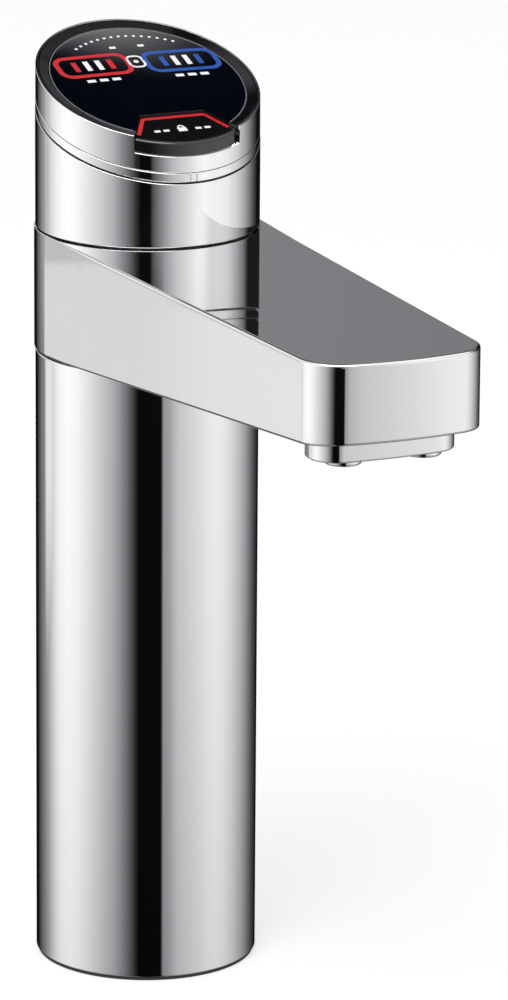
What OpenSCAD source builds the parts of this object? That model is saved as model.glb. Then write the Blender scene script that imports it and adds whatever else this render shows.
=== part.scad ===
// Boiling and chilled water tap: a chrome column with a swivelling spout arm
// and a tilted touch panel with a spring-loaded safety key.
// Origin: centre of the foot on the bench. +Z up, the spout points to -Y.

/* [Column] */
// Outer diameter of the column and the head
column_d = 60; // [52:1:72]
// Wall of the column tube
column_wall = 2; // [1.5:0.1:3]
// Height of the band's lower face above the bench
band_z = 170.1; // [150:0.1:200]
// Height of the foot casting inside the tube
foot_h = 10; // [8:1:16]
// Diameter of the passage for the hoses
passage_d = 32; // [26:1:34]
// Thickness of the foot gasket
gasket_h = 1; // [0.6:0.1:2]
// Thread diameter of the fixing studs
stud_d = 6; // [5:1:6]
// Diameter of the column set screws
set_screw_d = 5; // [4:1:6]

/* [Arm] */
// Height of the band where it wraps the column
band_h = 33.3; // [29:0.1:42]
// How far the band stands proud of the column
band_proud = 0.35; // [0.3:0.05:1.5]
// Distance from the axis to the middle of the tip face
arm_reach = 159.8; // [140:0.1:200]
// Width of the arm at the tip
arm_tip_w = 48; // [44:0.5:52]
// How far the tip face bows out
arm_bow = 3.6; // [2:0.1:8]
// Corner radius of the tip, seen from above
arm_corner_r = 10.8; // [5:0.1:13]
// Depth of the arm at the tip
arm_tip_h = 21; // [18:0.5:24]
// Distance from the axis to where the underside starts to rise
arm_rise_start = 6.3; // [4:0.1:20]
// Wall of the arm casting
arm_wall = 3; // [2.5:0.1:4]
// Thickness of the plate under the arm
underplate_t = 1.2; // [0.8:0.1:2]

/* [Swivel] */
// Distance from the column's surface in to the bearing surface on the core
hub_wall = 9; // [8:0.25:10]
// Swivel angle to each side
swivel_range = 60; // [30:5:75]
// Diameter of the stop pin
stop_pin_d = 3.6; // [3:0.1:4.4]
// Distance from the column's surface in to the stop pin's axis
stop_pin_inset = 5; // [4.5:0.1:5.5]
// Section diameter of the O-rings
oring_d = 1.8; // [1.4:0.1:2]
// Depth of each water groove round the core
gallery_depth = 2.5; // [2:0.1:3]
// Height of each water groove round the core
gallery_h = 3.4; // [3:0.1:4]

/* [Water ways] */
// Outer diameter of the feed tubes in the column
feed_tube_d = 8; // [6:0.5:8]
// Outer diameter of the tubes in the arm
arm_tube_d = 7; // [6:0.5:7]
// Wall of the water tubes
tube_wall = 1; // [0.8:0.1:1.2]
// Distance from the axis to each feed tube
feed_offset = 9; // [8.8:0.1:10]
// Distance from the centre plane to each outlet
outlet_offset = 11; // [10:0.5:12]
// Distance from the middle of the tip face back to the outlets
outlet_inset = 14.4; // [13.5:0.1:28]
// Diameter of the nozzles
nozzle_d = 9.6; // [7:0.1:10]
// Section diameter of the nozzle O-rings
nozzle_oring_d = 0.8; // [0.6:0.1:0.9]
// How far the nozzles stand out of the outlet block
nozzle_drop = 1.4; // [1:0.1:4]
// How far each side of the outlet block lies inside the side of the tip
block_side = 4.4; // [4:0.1:7]
// How far the outlet block reaches behind its towers
block_heel = 1.6; // [1:0.1:4]
// How far the outlet block hangs below the arm
block_drop = 5.3; // [4:0.1:8]
// Corner radius of the outlet block
block_corner_r = 7; // [3:0.1:8]

/* [Head] */
// Height of the panel rim on the axis, above the arm's top face
rim_rise = 39.6; // [36:0.1:50]
// Tilt of the panel towards the spout
panel_tilt = 19.4; // [12:0.2:22]
// Height of the chrome cap ring
cap_h = 8.85; // [8.4:0.05:10]
// Height of the trim ring under the cap ring
trim_h = 2.5; // [1.6:0.1:4]
// Height of the dark joint under the trim ring
joint_h = 0.5; // [0.4:0.1:1]
// Wall of the head shell and its rings
head_wall = 3; // [2.5:0.1:3.4]
// Thickness of the head floor
head_floor = 3.5; // [3:0.1:5]

/* [Panel] */
// Width of the chrome lip round the black bezel
rim_lip = 0.6; // [0.4:0.1:1]
// Width of the black bezel
bezel_w = 3; // [2.4:0.1:3.4]
// Depth of the touch disc below the rim
disc_drop = 0.7; // [0.4:0.1:1]
// Thickness of the touch disc
disc_t = 1.3; // [1:0.1:1.5]
// Thickness of the panel carrier
carrier_t = 0.8; // [0.6:0.1:1]
// Depth of the notch for the safety key, below the rim
notch_depth = 4.5; // [4:0.1:5]
// Half of the notch's angle about the axis
notch_half = 30.5; // [26:0.5:31]
// Distance from the head's front back to the key's inner edge, seen from above
key_depth = 14.1; // [13.2:0.1:14.2]
// Depth of the safety key below the touch disc
key_drop = 0.5; // [0.2:0.1:0.6]
// Travel of the safety key
key_travel = 0.8; // [0.3:0.1:0.8]
// Width of the red line on the safety key
line_w = 1.1; // [0.8:0.1:1.4]

/* [Fits] */
// Gap between fixed pieces that fit into each other
fit_gap = 0.05; // [0.03:0.01:0.08]
// Running clearance of the arm on the core
run_gap = 0.05; // [0.03:0.01:0.08]
// Gap between the arm and its neighbours above and below
face_gap = 0.4; // [0.3:0.05:0.6]
// Gap round the safety key
key_gap = 0.15; // [0.1:0.01:0.25]

/* [Hidden] */
$fn = 96;

chrome = [0.80, 0.81, 0.83];
brass_plain = [0.78, 0.66, 0.38];
steel = [0.62, 0.63, 0.65];
black_gloss = [0.03, 0.03, 0.05];
black_matt = [0.10, 0.10, 0.11];
rubber = [0.06, 0.06, 0.06];
cut = 1;                                    // how far a cutter passes a face
face_play = 0.02;                           // between faces that lie on each other
far = 200;                                  // larger than any section

column_r = column_d / 2;
column_in_r = column_r - column_wall;
column_top = band_z - face_gap;
gasket_inset = 0.6;
foot_z = gasket_h;
foot_r = column_in_r - fit_gap;
stud_r = stud_d / 2;
passage_r = passage_d / 2;
stud_offset = (passage_r + column_in_r) / 2; // midway between the passage and the tube
set_screw_z = foot_z + foot_h / 2;
set_screw_len = 6;
set_screw_angles = [50, 130];
clip_heights = [52, 112];
clip_t = 6;
clip_edge = 2;                              // what is left beside the holes of a clip

band_r = column_r + band_proud;
arm_top = band_z + band_h;
core_r = column_r - hub_wall;
hub_r = core_r + run_gap;
washer_gap = 0.05;
washer_inset = 1.5;
washer_t = face_gap - 2 * washer_gap;
plug_h = 13;                                // part of the core inside the column
plug_z = column_top - plug_h;
plug_r = column_in_r - fit_gap;
plug_seal_z = plug_z + 3.5;
stop_pin_offset = column_r - stop_pin_inset;
stop_pin_z = plug_z + 6;
stop_pin_top = column_top + 4;
stop_groove_w = stop_pin_d + 0.4;
head_z = arm_top + face_gap;
head_screw_r = 1.95;
head_screw_head_r = 3.4;
head_screw_head_h = 2.4;
head_screw_hole_r = head_screw_r + 0.05;
head_screw_angles = [90, 210, 330];
head_screw_inset = 6;
head_screw_offset = core_r - head_screw_inset;
core_neck_r = head_screw_offset - head_screw_head_r - 1.6;
core_neck_h = head_floor + 0.8;
cable_r = 2.25;
cable_bore_r = 3;

chilled_depth = 9;                          // from the arm's top face to the upper water groove
groove_pitch = 6.5;
chilled_z = arm_top - chilled_depth;
boiling_z = chilled_z - groove_pitch;
seal_pitch = (chilled_z - boiling_z) / 2;
seal_heights = [boiling_z - seal_pitch, boiling_z + seal_pitch, chilled_z + seal_pitch];
passage_bore_r = 3;
port_r = 2;
feed_r = feed_tube_d / 2;
feed_socket = 9;                            // depth that a feed tube goes into the core
vent_r = 3;
vent_offset = 11;
clip_front = -feed_r - 2 * clip_edge;
clip_back = vent_offset + vent_r + clip_edge;
arm_tube_r = arm_tube_d / 2;
arm_socket = 4;
hose_end = 13;                              // the tubes end that far above the foot, where the hoses reach
tube_end_z = foot_z + foot_h + hose_end;

// Plan of the arm, in x and forward distance: a side that runs into the band
// almost at a tangent, a corner arc and a bowed front arc. inset moves all
// three inwards.
tip_half = arm_tip_w / 2;
tip_y = arm_reach - arm_bow;
outlet_reach = arm_reach - outlet_inset;
side_r = band_r - 0.03;                     // a true tangent would leave a sliver
taper = asin(side_r / norm([tip_half, tip_y])) - atan2(tip_half, tip_y);
side_in = [cos(taper), -sin(taper)];
side_dir = [sin(taper), cos(taper)];
side_start = [-side_r * cos(taper), side_r * sin(taper)];
bow_r = (tip_half * tip_half + arm_bow * arm_bow) / (2 * arm_bow);
bow_c = [0, arm_reach - bow_r];
corner_from = side_start + arm_corner_r * side_in - bow_c;
corner_along = corner_from * side_dir;
corner_s = sqrt(pow(corner_along, 2) - corner_from * corner_from
    + pow(bow_r - arm_corner_r, 2)) - corner_along;
corner_c = side_start + arm_corner_r * side_in + corner_s * side_dir;
bow_from = atan2(corner_c[1] - bow_c[1], corner_c[0] - bow_c[0]);
arc_steps = 10;
function arc(c, r, from, to) =
    [for (i = [0:arc_steps]) let (a = from + (to - from) * i / arc_steps)
        c + r * [cos(a), sin(a)]];
function half_plan(inset) = concat([[0, 0], side_start + inset * side_in],
    arc(corner_c, arm_corner_r - inset, 180 - taper, bow_from),
    arc(bow_c, bow_r - inset, bow_from, 90));

// Height of the arm's underside at forward distance y: level, then rising
rise_blend = 6;
rise_slope = (band_h - arm_tip_h) / (tip_y - arm_rise_start);
function rise(t) = t < -rise_blend ? 0 : t > rise_blend ? t : pow(t + rise_blend, 2) / (4 * rise_blend);
function under_z(y) = band_z + rise_slope * rise(y - arm_rise_start);
rise_steps = 6;
under_line = concat([[-band_r - cut, band_z]],
    [for (i = [0:rise_steps]) let (y = arm_rise_start + rise_blend * (2 * i / rise_steps - 1))
        [y, under_z(y)]],
    [[arm_reach + cut, under_z(arm_reach + cut)]]);

cavity_y = band_r + 3;                      // where the hollow of the arm begins
cavity_top = arm_top - arm_wall;
plate_gap = 0.1;
nozzle_r = nozzle_d / 2;
nozzle_wall = 1.4;
nozzle_bore_r = nozzle_r - nozzle_wall;
nozzle_len = 5;                             // part of a nozzle inside the block
tip_under = under_z(outlet_reach);
tower_wall = 1.5;                           // in front of a nozzle's bore
tower_socket_wall = 0.7;                    // between a nozzle's bore and the arm tube's end
tower_w = 10;
tower_top = cavity_top - 0.7;
tower_front = outlet_reach + nozzle_bore_r + tower_wall;
tower_back = outlet_reach - nozzle_bore_r - tower_socket_wall - arm_socket;
block_rim = 1.7;                            // what is left of the block in front of the nozzles
block_z = tip_under - block_drop;
block_front = outlet_reach + nozzle_r + block_rim;
block_back = tower_back - block_heel;
block_base_top = tip_under + 3.5;
block_half = tip_half - block_side;
block_bow = 1.5;
block_gap = 0.15;
insert_t = 2.5;
insert_hole_r = 0.45;
insert_holes = 0.58;                        // their distance from the middle, as a share of the bore
block_screw_r = 1.75;
screw_head_r = 3.2;
boss_r = 4;
boss_z = block_base_top + fit_gap;
screw_depth = 8;
plate_screw_r = 1.5;
plate_screw_head_r = 2.6;
plate_screw_head_h = 1.4;
plate_screw_start = 12.65;                  // from the hollow's start to the first screw
plate_screw_end = 13.7;                     // from the second screw to the outlet block
plate_screw_y = [cavity_y + plate_screw_start, block_back - plate_screw_end];
plate_boss_r = 3.2;

rim_z = arm_top + rim_rise;                 // heights of tilted planes, on the axis
trim_top = rim_z - cap_h;
trim_z = trim_top - trim_h;
shell_top = trim_z - joint_h;
ring_r = column_r - 0.1;
head_in_r = column_r - head_wall;
collar_r = head_in_r - fit_gap;
collar_wall = 1.6;
collar_z = shell_top - 6;
disc_top = rim_z - disc_drop;
disc_z = disc_top - disc_t;
carrier_z = disc_z - carrier_t;
seat_r = column_r - rim_lip;
bezel_r = seat_r - fit_gap;
disc_r = seat_r - bezel_w;
bezel_in_r = disc_r + 0.1;
skirt_r = collar_r - collar_wall - 0.15;
skirt_wall = 1.4;
board_top = carrier_z - 2;
board_t = 1.6;
board_z = board_top - board_t;
board_r = skirt_r - skirt_wall - 0.2;
collar_top = carrier_z - 0.1;
key_inner = column_r - key_depth;
key_top = disc_top - key_drop;
key_plate_t = 1.4;
lip_in_r = ring_r - 0.85;                   // thin lip of the cap ring before the key
key_r = lip_in_r - key_gap;
key_wall = 1.6;
key_wall_z = rim_z - notch_depth - 1.2;
stem_r = 1.2;
stem_y = key_inner + 4.1;
switch_size = 5.6;
switch_z = board_top + 1.1;
stem_z = switch_z + key_travel + 0.05;
key_plate_z = key_top - key_plate_t;
hook_x = 6;                                 // two hooks hold the key down under the carrier
hook_w = 2;
hook_t = 0.8;
hook_reach = 0.9;
line_inset = 0.1;
line_t = 0.5;
line_end = 2.1;                             // the line stops this far from the key's front
peg_r = 1;
peg_offset = board_r - 2.5;
led_size = [1.6, 1.6, 0.7];
led_places = [[-12, 8], [-5, 9], [5, 9], [12, 8], [0, 2]];

// A vertical round bar of radius r between two tilted planes
module tilted_bar(r, z0, z1) {
    intersection() {
        translate([0, 0, z0 - 2 * column_r])
            cylinder(r = r, h = z1 - z0 + 4 * column_r);
        tilted_layer(z0, z1);
    }
}

// A wide layer between the tilted planes that cross the axis at z0 and z1
module tilted_layer(z0, z1) {
    on_tilt(z0)
        translate([-far / 2, -far / 2, 0])
            cube([far, far, (z1 - z0) * cos(panel_tilt)]);
}

// Turns what follows into the plane of the panel, at height z on the axis
module on_tilt(z) {
    translate([0, 0, z])
        rotate([panel_tilt, 0, 0])
            children();
}

// A ring between two tilted planes
module tilted_ring(r, r_in, z0, z1) {
    difference() {
        tilted_bar(r, z0, z1);
        translate([0, 0, z0 - 2 * column_r])
            cylinder(r = r_in, h = z1 - z0 + 4 * column_r);
    }
}

// The wedge of the notch from distance y_min on, its sides moved inwards by inset
module front_wedge(inset, y_min) {
    apex = inset / sin(notch_half);
    x_min = (y_min - apex) * tan(notch_half);
    x_max = (far - apex) * tan(notch_half);
    translate([0, 0, arm_top])
        linear_extrude(far)
            polygon([[-x_min, -y_min], [x_min, -y_min], [x_max, -far], [-x_max, -far]]);
}

// The part of that wedge inside radius r and between two tilted planes
module wedge_layer(inset, y_min, r, z0, z1) {
    intersection() {
        tilted_bar(r, z0, z1);
        front_wedge(inset, y_min);
    }
}

// Solid plan of the arm, moved inwards by inset, from z0 to z1
module arm_prism(inset, z0, z1) {
    half = half_plan(inset);
    left = [for (p = half) [p[0], -p[1]]];
    right = [for (i = [len(half) - 1:-1:1]) [-half[i][0], -half[i][1]]];
    translate([0, 0, z0])
        linear_extrude(z1 - z0)
            polygon(concat(left, right));
}

// What lies above the arm's underside line, raised by lift, up to z1
module above_underside(lift, z1) {
    line = [for (p = under_line) [-p[0], p[1] + lift]];
    rotate([90, 0, 90])
        translate([0, 0, -far / 2])
            linear_extrude(far)
                polygon(concat(line, [[-arm_reach - cut, z1], [band_r + cut, z1]]));
}

// The hollow of the arm
module arm_cavity(z1) {
    intersection() {
        arm_prism(arm_wall, band_z - cut, z1);
        translate([-far / 2, -far - cavity_y, band_z - cut])
            cube([far, far, far]);
    }
}

// Plan of the outlet block, grown by gap, from z0 to z1
module block_prism(gap, z0, z1) {
    half_w = block_half + gap;
    r = block_corner_r + gap;
    back = block_back - gap;
    front = block_front + gap;
    front_r = (pow(half_w, 2) + pow(block_bow, 2)) / (2 * block_bow);
    intersection() {
        translate([0, 0, z0])
            linear_extrude(z1 - z0)
                union() {
                    translate([-half_w + r, -front])
                        square([2 * half_w - 2 * r, front - back]);
                    translate([-half_w, -front + r])
                        square([2 * half_w, front - back - 2 * r]);
                    for (x = [-half_w + r, half_w - r], y = [-front + r, -back - r])
                        translate([x, y])
                            circle(r);
                }
        translate([0, -front + front_r, z0 - cut])
            cylinder(r = front_r, h = z1 - z0 + 2 * cut, $fn = 180);
    }
}

// A straight tube along Z
module tube(r, wall, h) {
    difference() {
        cylinder(r = r, h = h);
        translate([0, 0, -cut])
            cylinder(r = r - wall, h = h + 2 * cut);
    }
}

// A ring of round section d whose outer radius is r
module oring(r, z, d = oring_d) {
    translate([0, 0, z])
        rotate_extrude()
            translate([r - d / 2, 0])
                circle(d = d, $fn = 32);
}

// A screw with a round head that points up and a hexagon socket in it
module socket_screw(r, length, head_r, head_h) {
    translate([0, 0, -length])
        cylinder(r = r, h = length);
    difference() {
        cylinder(r = head_r, h = head_h);
        translate([0, 0, head_h / 3])
            cylinder(r = head_r * 0.5, h = head_h, $fn = 6);
    }
}

module foot_gasket() {
    color(rubber)
        difference() {
            cylinder(r = column_r - gasket_inset, h = gasket_h);
            translate([0, 0, -cut])
                cylinder(r = passage_r, h = gasket_h + 2 * cut);
            for (side = [-1, 1])
                translate([side * stud_offset, 0, -cut])
                    cylinder(r = stud_r + 0.3, h = gasket_h + 2 * cut);
        }
}

module foot_casting() {
    color(brass_plain)
        difference() {
            translate([0, 0, foot_z])
                cylinder(r = foot_r, h = foot_h);
            translate([0, 0, foot_z - cut])
                cylinder(r = passage_r, h = foot_h + 2 * cut);
            for (side = [-1, 1])
                translate([side * stud_offset, 0, foot_z - cut])
                    cylinder(r = stud_r, h = foot_h + 2 * cut);
            set_screw_holes(fit_gap, passage_r + 1);
        }
}

// Radial holes for the set screws, from radius r_in outwards
module set_screw_holes(gap, r_in) {
    for (a = set_screw_angles)
        translate([0, 0, set_screw_z])
            rotate([0, 90, a])
                translate([0, 0, r_in])
                    cylinder(r = set_screw_d / 2 + gap, h = column_r);
}

module column_tube() {
    color(chrome)
        difference() {
            translate([0, 0, foot_z])
                cylinder(r = column_r, h = column_top - foot_z);
            translate([0, 0, foot_z - cut])
                cylinder(r = column_in_r, h = column_top - foot_z + 2 * cut);
            set_screw_holes(fit_gap, column_r / 2);
        }
}

module column_set_screws() {
    color(steel)
        for (a = set_screw_angles)
            translate([0, 0, set_screw_z])
                rotate([0, 90, a])
                    translate([0, 0, column_r - set_screw_len - 0.3])
                        difference() {
                            cylinder(r = set_screw_d / 2, h = set_screw_len);
                            translate([0, 0, set_screw_len / 2])
                                cylinder(r = set_screw_d / 4, h = set_screw_len, $fn = 6);
                        }
}

module tube_clips() {
    color(black_matt)
        for (z = clip_heights)
            translate([0, 0, z])
                difference() {
                    intersection() {
                        cylinder(r = column_in_r - 0.2, h = clip_t);
                        translate([-far / 2, clip_front, -cut])
                            cube([far, clip_back - clip_front, clip_t + 2 * cut]);
                    }
                    for (x = [-feed_offset, feed_offset])
                        translate([x, 0, -cut])
                            cylinder(r = feed_r + fit_gap, h = clip_t + 2 * cut);
                    translate([0, vent_offset, -cut])
                        cylinder(r = vent_r + fit_gap, h = clip_t + 2 * cut);
                    translate([0, 0, -cut])
                        cylinder(r = cable_r + fit_gap, h = clip_t + 2 * cut);
                }
}

module feed_tube(side) {
    translate([side * feed_offset, 0, tube_end_z])
        tube(feed_r, tube_wall, plug_z + feed_socket - fit_gap - tube_end_z);
}

module boiling_feed_tube() {
    color("silver")
        feed_tube(-1);
}

module chilled_feed_tube() {
    color("silver")
        feed_tube(1);
}

module vent_tube() {
    color("white")
        translate([0, vent_offset, tube_end_z])
            tube(vent_r, tube_wall, plug_z + feed_socket - fit_gap - tube_end_z);
}

module control_cable() {
    color(rubber)
        translate([0, 0, tube_end_z])
            cylinder(r = cable_r, h = board_z - 0.2 - tube_end_z);
}

module swivel_core() {
    color(brass_plain)
        difference() {
            union() {
                translate([0, 0, plug_z])
                    cylinder(r = plug_r, h = plug_h);
                translate([0, 0, column_top - cut])
                    cylinder(r = core_r, h = head_z - column_top + cut);
                translate([0, 0, head_z - cut])
                    cylinder(r = core_neck_r, h = core_neck_h + cut);
            }
            translate([0, 0, plug_z - cut])
                cylinder(r = cable_bore_r, h = far);
            water_way(-1, boiling_z);
            water_way(1, chilled_z);
            translate([0, vent_offset, plug_z - cut])
                cylinder(r = vent_r + fit_gap, h = feed_socket + cut);
            translate([0, vent_offset, plug_z])
                cylinder(r = vent_r - tube_wall, h = boiling_z - plug_z);
            translate([0, vent_offset, boiling_z])
                rotate([-90, 0, 0])
                    cylinder(r = port_r, h = core_r);
            for (z = seal_heights)
                oring_groove(core_r, z);
            oring_groove(plug_r, plug_seal_z);
            head_screw_holes(head_z - screw_depth - 0.5, screw_depth + 1, head_screw_hole_r);
            translate([0, stop_pin_offset, stop_pin_z - fit_gap])
                cylinder(d = stop_pin_d + fit_gap, h = plug_h);
        }
}

// A feed socket, the bore above it, its port and the groove round the core
module water_way(side, z) {
    translate([side * feed_offset, 0, plug_z - cut])
        cylinder(r = feed_r + fit_gap, h = feed_socket + cut);
    translate([side * feed_offset, 0, plug_z])
        cylinder(r = passage_bore_r, h = z + port_r - plug_z);
    translate([side * feed_offset, 0, z])
        rotate([0, side * 90, 0])
            cylinder(r = port_r, h = core_r);
    translate([0, 0, z - gallery_h / 2])
        difference() {
            cylinder(r = core_r + cut, h = gallery_h);
            translate([0, 0, -cut])
                cylinder(r = core_r - gallery_depth, h = gallery_h + 2 * cut);
        }
}

// The groove that holds such a ring, with a little room to both sides
module oring_groove(r, z, d = oring_d) {
    width = d + 0.2;
    translate([0, 0, z - width / 2])
        difference() {
            cylinder(r = r + cut, h = width);
            translate([0, 0, -cut])
                cylinder(r = r - d - 0.05, h = width + 2 * cut);
        }
}

module head_screw_holes(z, h, r) {
    for (a = head_screw_angles)
        rotate([0, 0, a])
            translate([head_screw_offset, 0, z])
                cylinder(r = r, h = h);
}

module column_oring() {
    color(rubber)
        oring(plug_r, plug_seal_z);
}

module hub_orings() {
    color(rubber)
        for (z = seal_heights)
            oring(core_r, z);
}

module thrust_washer(z, pin_hole) {
    translate([0, 0, z])
        difference() {
            cylinder(r = column_r - washer_inset, h = washer_t);
            translate([0, 0, -cut])
                cylinder(r = core_r + 0.2, h = washer_t + 2 * cut);
            if (pin_hole)
                translate([0, stop_pin_offset, -cut])
                    cylinder(d = stop_pin_d + 0.2, h = washer_t + 2 * cut);
        }
}

module lower_thrust_washer() {
    color("white")
        thrust_washer(column_top + washer_gap, true);
}

module upper_thrust_washer() {
    color("white")
        thrust_washer(arm_top + washer_gap, false);
}

module swivel_stop_pin() {
    color(steel)
        translate([0, stop_pin_offset, stop_pin_z])
            cylinder(d = stop_pin_d, h = stop_pin_top - stop_pin_z);
}

// Arc groove in the hub that runs past the stop pin when the arm swivels
module stop_groove() {
    half = swivel_range + asin(stop_groove_w / 2 / stop_pin_offset);
    groove_h = stop_pin_top + 0.5 - band_z + cut;
    translate([0, 0, band_z - cut])
        rotate([0, 0, 90 - half])
            rotate_extrude(angle = 2 * half)
                translate([stop_pin_offset - stop_groove_w / 2, 0])
                    square([stop_groove_w, groove_h]);
}

module spout_arm() {
    color(chrome)
        difference() {
            union() {
                translate([0, 0, band_z])
                    cylinder(r = band_r, h = band_h);
                intersection() {
                    arm_prism(0, band_z - cut, arm_top);
                    above_underside(0, arm_top);
                }
            }
            difference() {
                arm_cavity(cavity_top);
                translate([0, -outlet_reach, boss_z])
                    cylinder(r = boss_r, h = far);
                for (y = plate_screw_y)
                    translate([0, -y, under_z(y) + underplate_t + fit_gap])
                        cylinder(r = plate_boss_r, h = far);
            }
            translate([0, 0, band_z - cut])
                cylinder(r = hub_r, h = band_h + 2 * cut);
            translate([0, -outlet_reach, boss_z - cut])
                cylinder(r = block_screw_r + fit_gap, h = screw_depth + cut);
            for (y = plate_screw_y)
                translate([0, -y, under_z(y)])
                    cylinder(r = plate_screw_r + fit_gap, h = screw_depth + 1);
            arm_port(-1, boiling_z);
            arm_port(1, chilled_z);
            stop_groove();
        }
}

// Port through the hub wall with a socket for the arm tube
module arm_port(side, z) {
    translate([side * outlet_offset, 0, z])
        rotate([90, 0, 0])
            cylinder(r = port_r, h = cavity_y + cut);
    translate([side * outlet_offset, -cavity_y + arm_socket, z])
        rotate([90, 0, 0])
            cylinder(r = arm_tube_r + fit_gap, h = arm_socket + cut);
}

module arm_underplate() {
    color(steel)
        difference() {
            intersection() {
                arm_prism(arm_wall + plate_gap, band_z - cut, arm_top);
                translate([-far / 2, -far - cavity_y - plate_gap, 0])
                    cube([far, far, 2 * far]);
                difference() {
                    above_underside(0, arm_top);
                    above_underside(underplate_t, arm_top + cut);
                }
            }
            block_prism(block_gap, 0, arm_top);
            for (y = plate_screw_y)
                translate([0, -y, 0])
                    cylinder(r = plate_screw_r + 0.2, h = arm_top);
        }
}

module underplate_screws() {
    color(steel)
        for (y = plate_screw_y)
            translate([0, -y, under_z(y) - 0.25])
                rotate([180, 0, 0])
                    socket_screw(plate_screw_r, screw_depth, plate_screw_head_r, plate_screw_head_h);
}

module arm_tube(side, z) {
    translate([side * outlet_offset, -cavity_y + arm_socket - fit_gap, z])
        rotate([90, 0, 0])
            tube(arm_tube_r, tube_wall, tower_back + arm_socket - cavity_y + arm_socket - 2 * fit_gap);
}

module boiling_arm_tube() {
    color("silver")
        arm_tube(-1, boiling_z);
}

module chilled_arm_tube() {
    color("silver")
        arm_tube(1, chilled_z);
}

module outlet_block() {
    color(chrome)
        difference() {
            union() {
                block_prism(0, block_z, block_base_top);
                for (side = [-1, 1])
                    translate([side * outlet_offset - tower_w / 2, -tower_front, tip_under])
                        cube([tower_w, tower_front - tower_back, tower_top - tip_under]);
            }
            block_way(-1, boiling_z);
            block_way(1, chilled_z);
            translate([0, -outlet_reach, block_z - cut])
                cylinder(r = block_screw_r + 0.1, h = far);
            translate([0, -outlet_reach, block_z - cut])
                cylinder(r = screw_head_r + 0.2, h = 3 + cut);
        }
}

// Nozzle seat, the bore above it and the socket for the arm tube
module block_way(side, z) {
    translate([side * outlet_offset, -outlet_reach, block_z - cut])
        cylinder(r = nozzle_r + fit_gap, h = nozzle_len + cut + fit_gap);
    translate([side * outlet_offset, -outlet_reach, block_z])
        cylinder(r = nozzle_bore_r, h = z - block_z);
    translate([side * outlet_offset, -tower_back + cut, z])
        rotate([90, 0, 0])
            cylinder(r = arm_tube_r + fit_gap, h = arm_socket + cut);
    translate([side * outlet_offset, -tower_back, z])
        rotate([90, 0, 0])
            cylinder(r = port_r, h = outlet_reach - tower_back);
}

module block_screw() {
    color(steel)
        translate([0, -outlet_reach, block_z + 2.9])
            rotate([180, 0, 0])
                socket_screw(block_screw_r, boss_z + screw_depth - 1 - block_z - 2.9, screw_head_r, 2.6);
}

module nozzle(side) {
    translate([side * outlet_offset, -outlet_reach, block_z - nozzle_drop])
        difference() {
            cylinder(r = nozzle_r, h = nozzle_drop + nozzle_len);
            translate([0, 0, -cut])
                cylinder(r = nozzle_bore_r, h = far);
            oring_groove(nozzle_r, nozzle_drop + nozzle_len / 2, nozzle_oring_d);
        }
}

module boiling_nozzle() {
    color(chrome)
        nozzle(-1);
}

module chilled_nozzle() {
    color(chrome)
        nozzle(1);
}

// Flow straightener: a disc with a ring of small holes
module insert(side) {
    translate([side * outlet_offset, -outlet_reach, block_z - nozzle_drop + 0.5])
        difference() {
            cylinder(r = nozzle_bore_r - fit_gap, h = insert_t);
            for (a = [0:60:300])
                rotate([0, 0, a])
                    translate([nozzle_bore_r * insert_holes, 0, -cut])
                        cylinder(r = insert_hole_r, h = insert_t + 2 * cut);
            translate([0, 0, -cut])
                cylinder(r = insert_hole_r, h = insert_t + 2 * cut);
        }
}

module boiling_insert() {
    color("white")
        insert(-1);
}

module chilled_insert() {
    color("white")
        insert(1);
}

module nozzle_orings() {
    color(rubber)
        for (side = [-1, 1])
            translate([side * outlet_offset, -outlet_reach, 0])
                oring(nozzle_r, block_z + nozzle_len / 2, nozzle_oring_d);
}

module head_shell() {
    color(chrome)
        difference() {
            intersection() {
                translate([0, 0, head_z])
                    cylinder(r = column_r, h = far);
                tilted_layer(head_z - column_r, shell_top);
            }
            translate([0, 0, head_z + head_floor])
                cylinder(r = head_in_r, h = far);
            translate([0, 0, head_z - cut])
                cylinder(r = core_neck_r + fit_gap, h = head_floor + 2 * cut);
            head_screw_holes(head_z - cut, head_floor + 2 * cut, head_screw_r + 0.2);
        }
}

module head_screws() {
    color(steel)
        for (a = head_screw_angles)
            rotate([0, 0, a])
                translate([head_screw_offset, 0, head_z + head_floor + fit_gap])
                    socket_screw(head_screw_r, head_floor + screw_depth - 1,
                        head_screw_head_r, head_screw_head_h);
}

module head_collar() {
    color(black_matt)
        difference() {
            tilted_ring(collar_r, collar_r - collar_wall, collar_z, collar_top);
            wedge_layer(0, key_inner, collar_r + cut, key_plate_z - key_travel - 0.2, rim_z);
        }
}

module joint_gasket() {
    color(rubber)
        tilted_ring(ring_r - 0.6, head_in_r + fit_gap, shell_top + 0.05, trim_z - 0.05);
}

module trim_ring() {
    color(chrome)
        difference() {
            tilted_ring(ring_r, head_in_r, trim_z, trim_top - 0.15);
            for (x = [-0.9, 0.9])
                translate([x - 0.2, -column_r - cut, trim_z - column_r])
                    cube([0.4, cut + 0.6, 2 * column_r]);
        }
}

module cap_ring() {
    color(chrome)
        difference() {
            tilted_ring(ring_r, head_in_r, trim_top, rim_z);
            translate([0, 0, trim_top - column_r])
                intersection() {
                    cylinder(r = seat_r, h = far);
                    translate([0, 0, column_r - trim_top])
                        tilted_layer(carrier_z, rim_z + column_r);
                }
            wedge_layer(0, key_inner, 2 * column_r, rim_z - notch_depth, rim_z + column_r);
            wedge_layer(0, key_inner, lip_in_r, key_wall_z - key_travel - 0.3, rim_z);
        }
}

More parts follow.
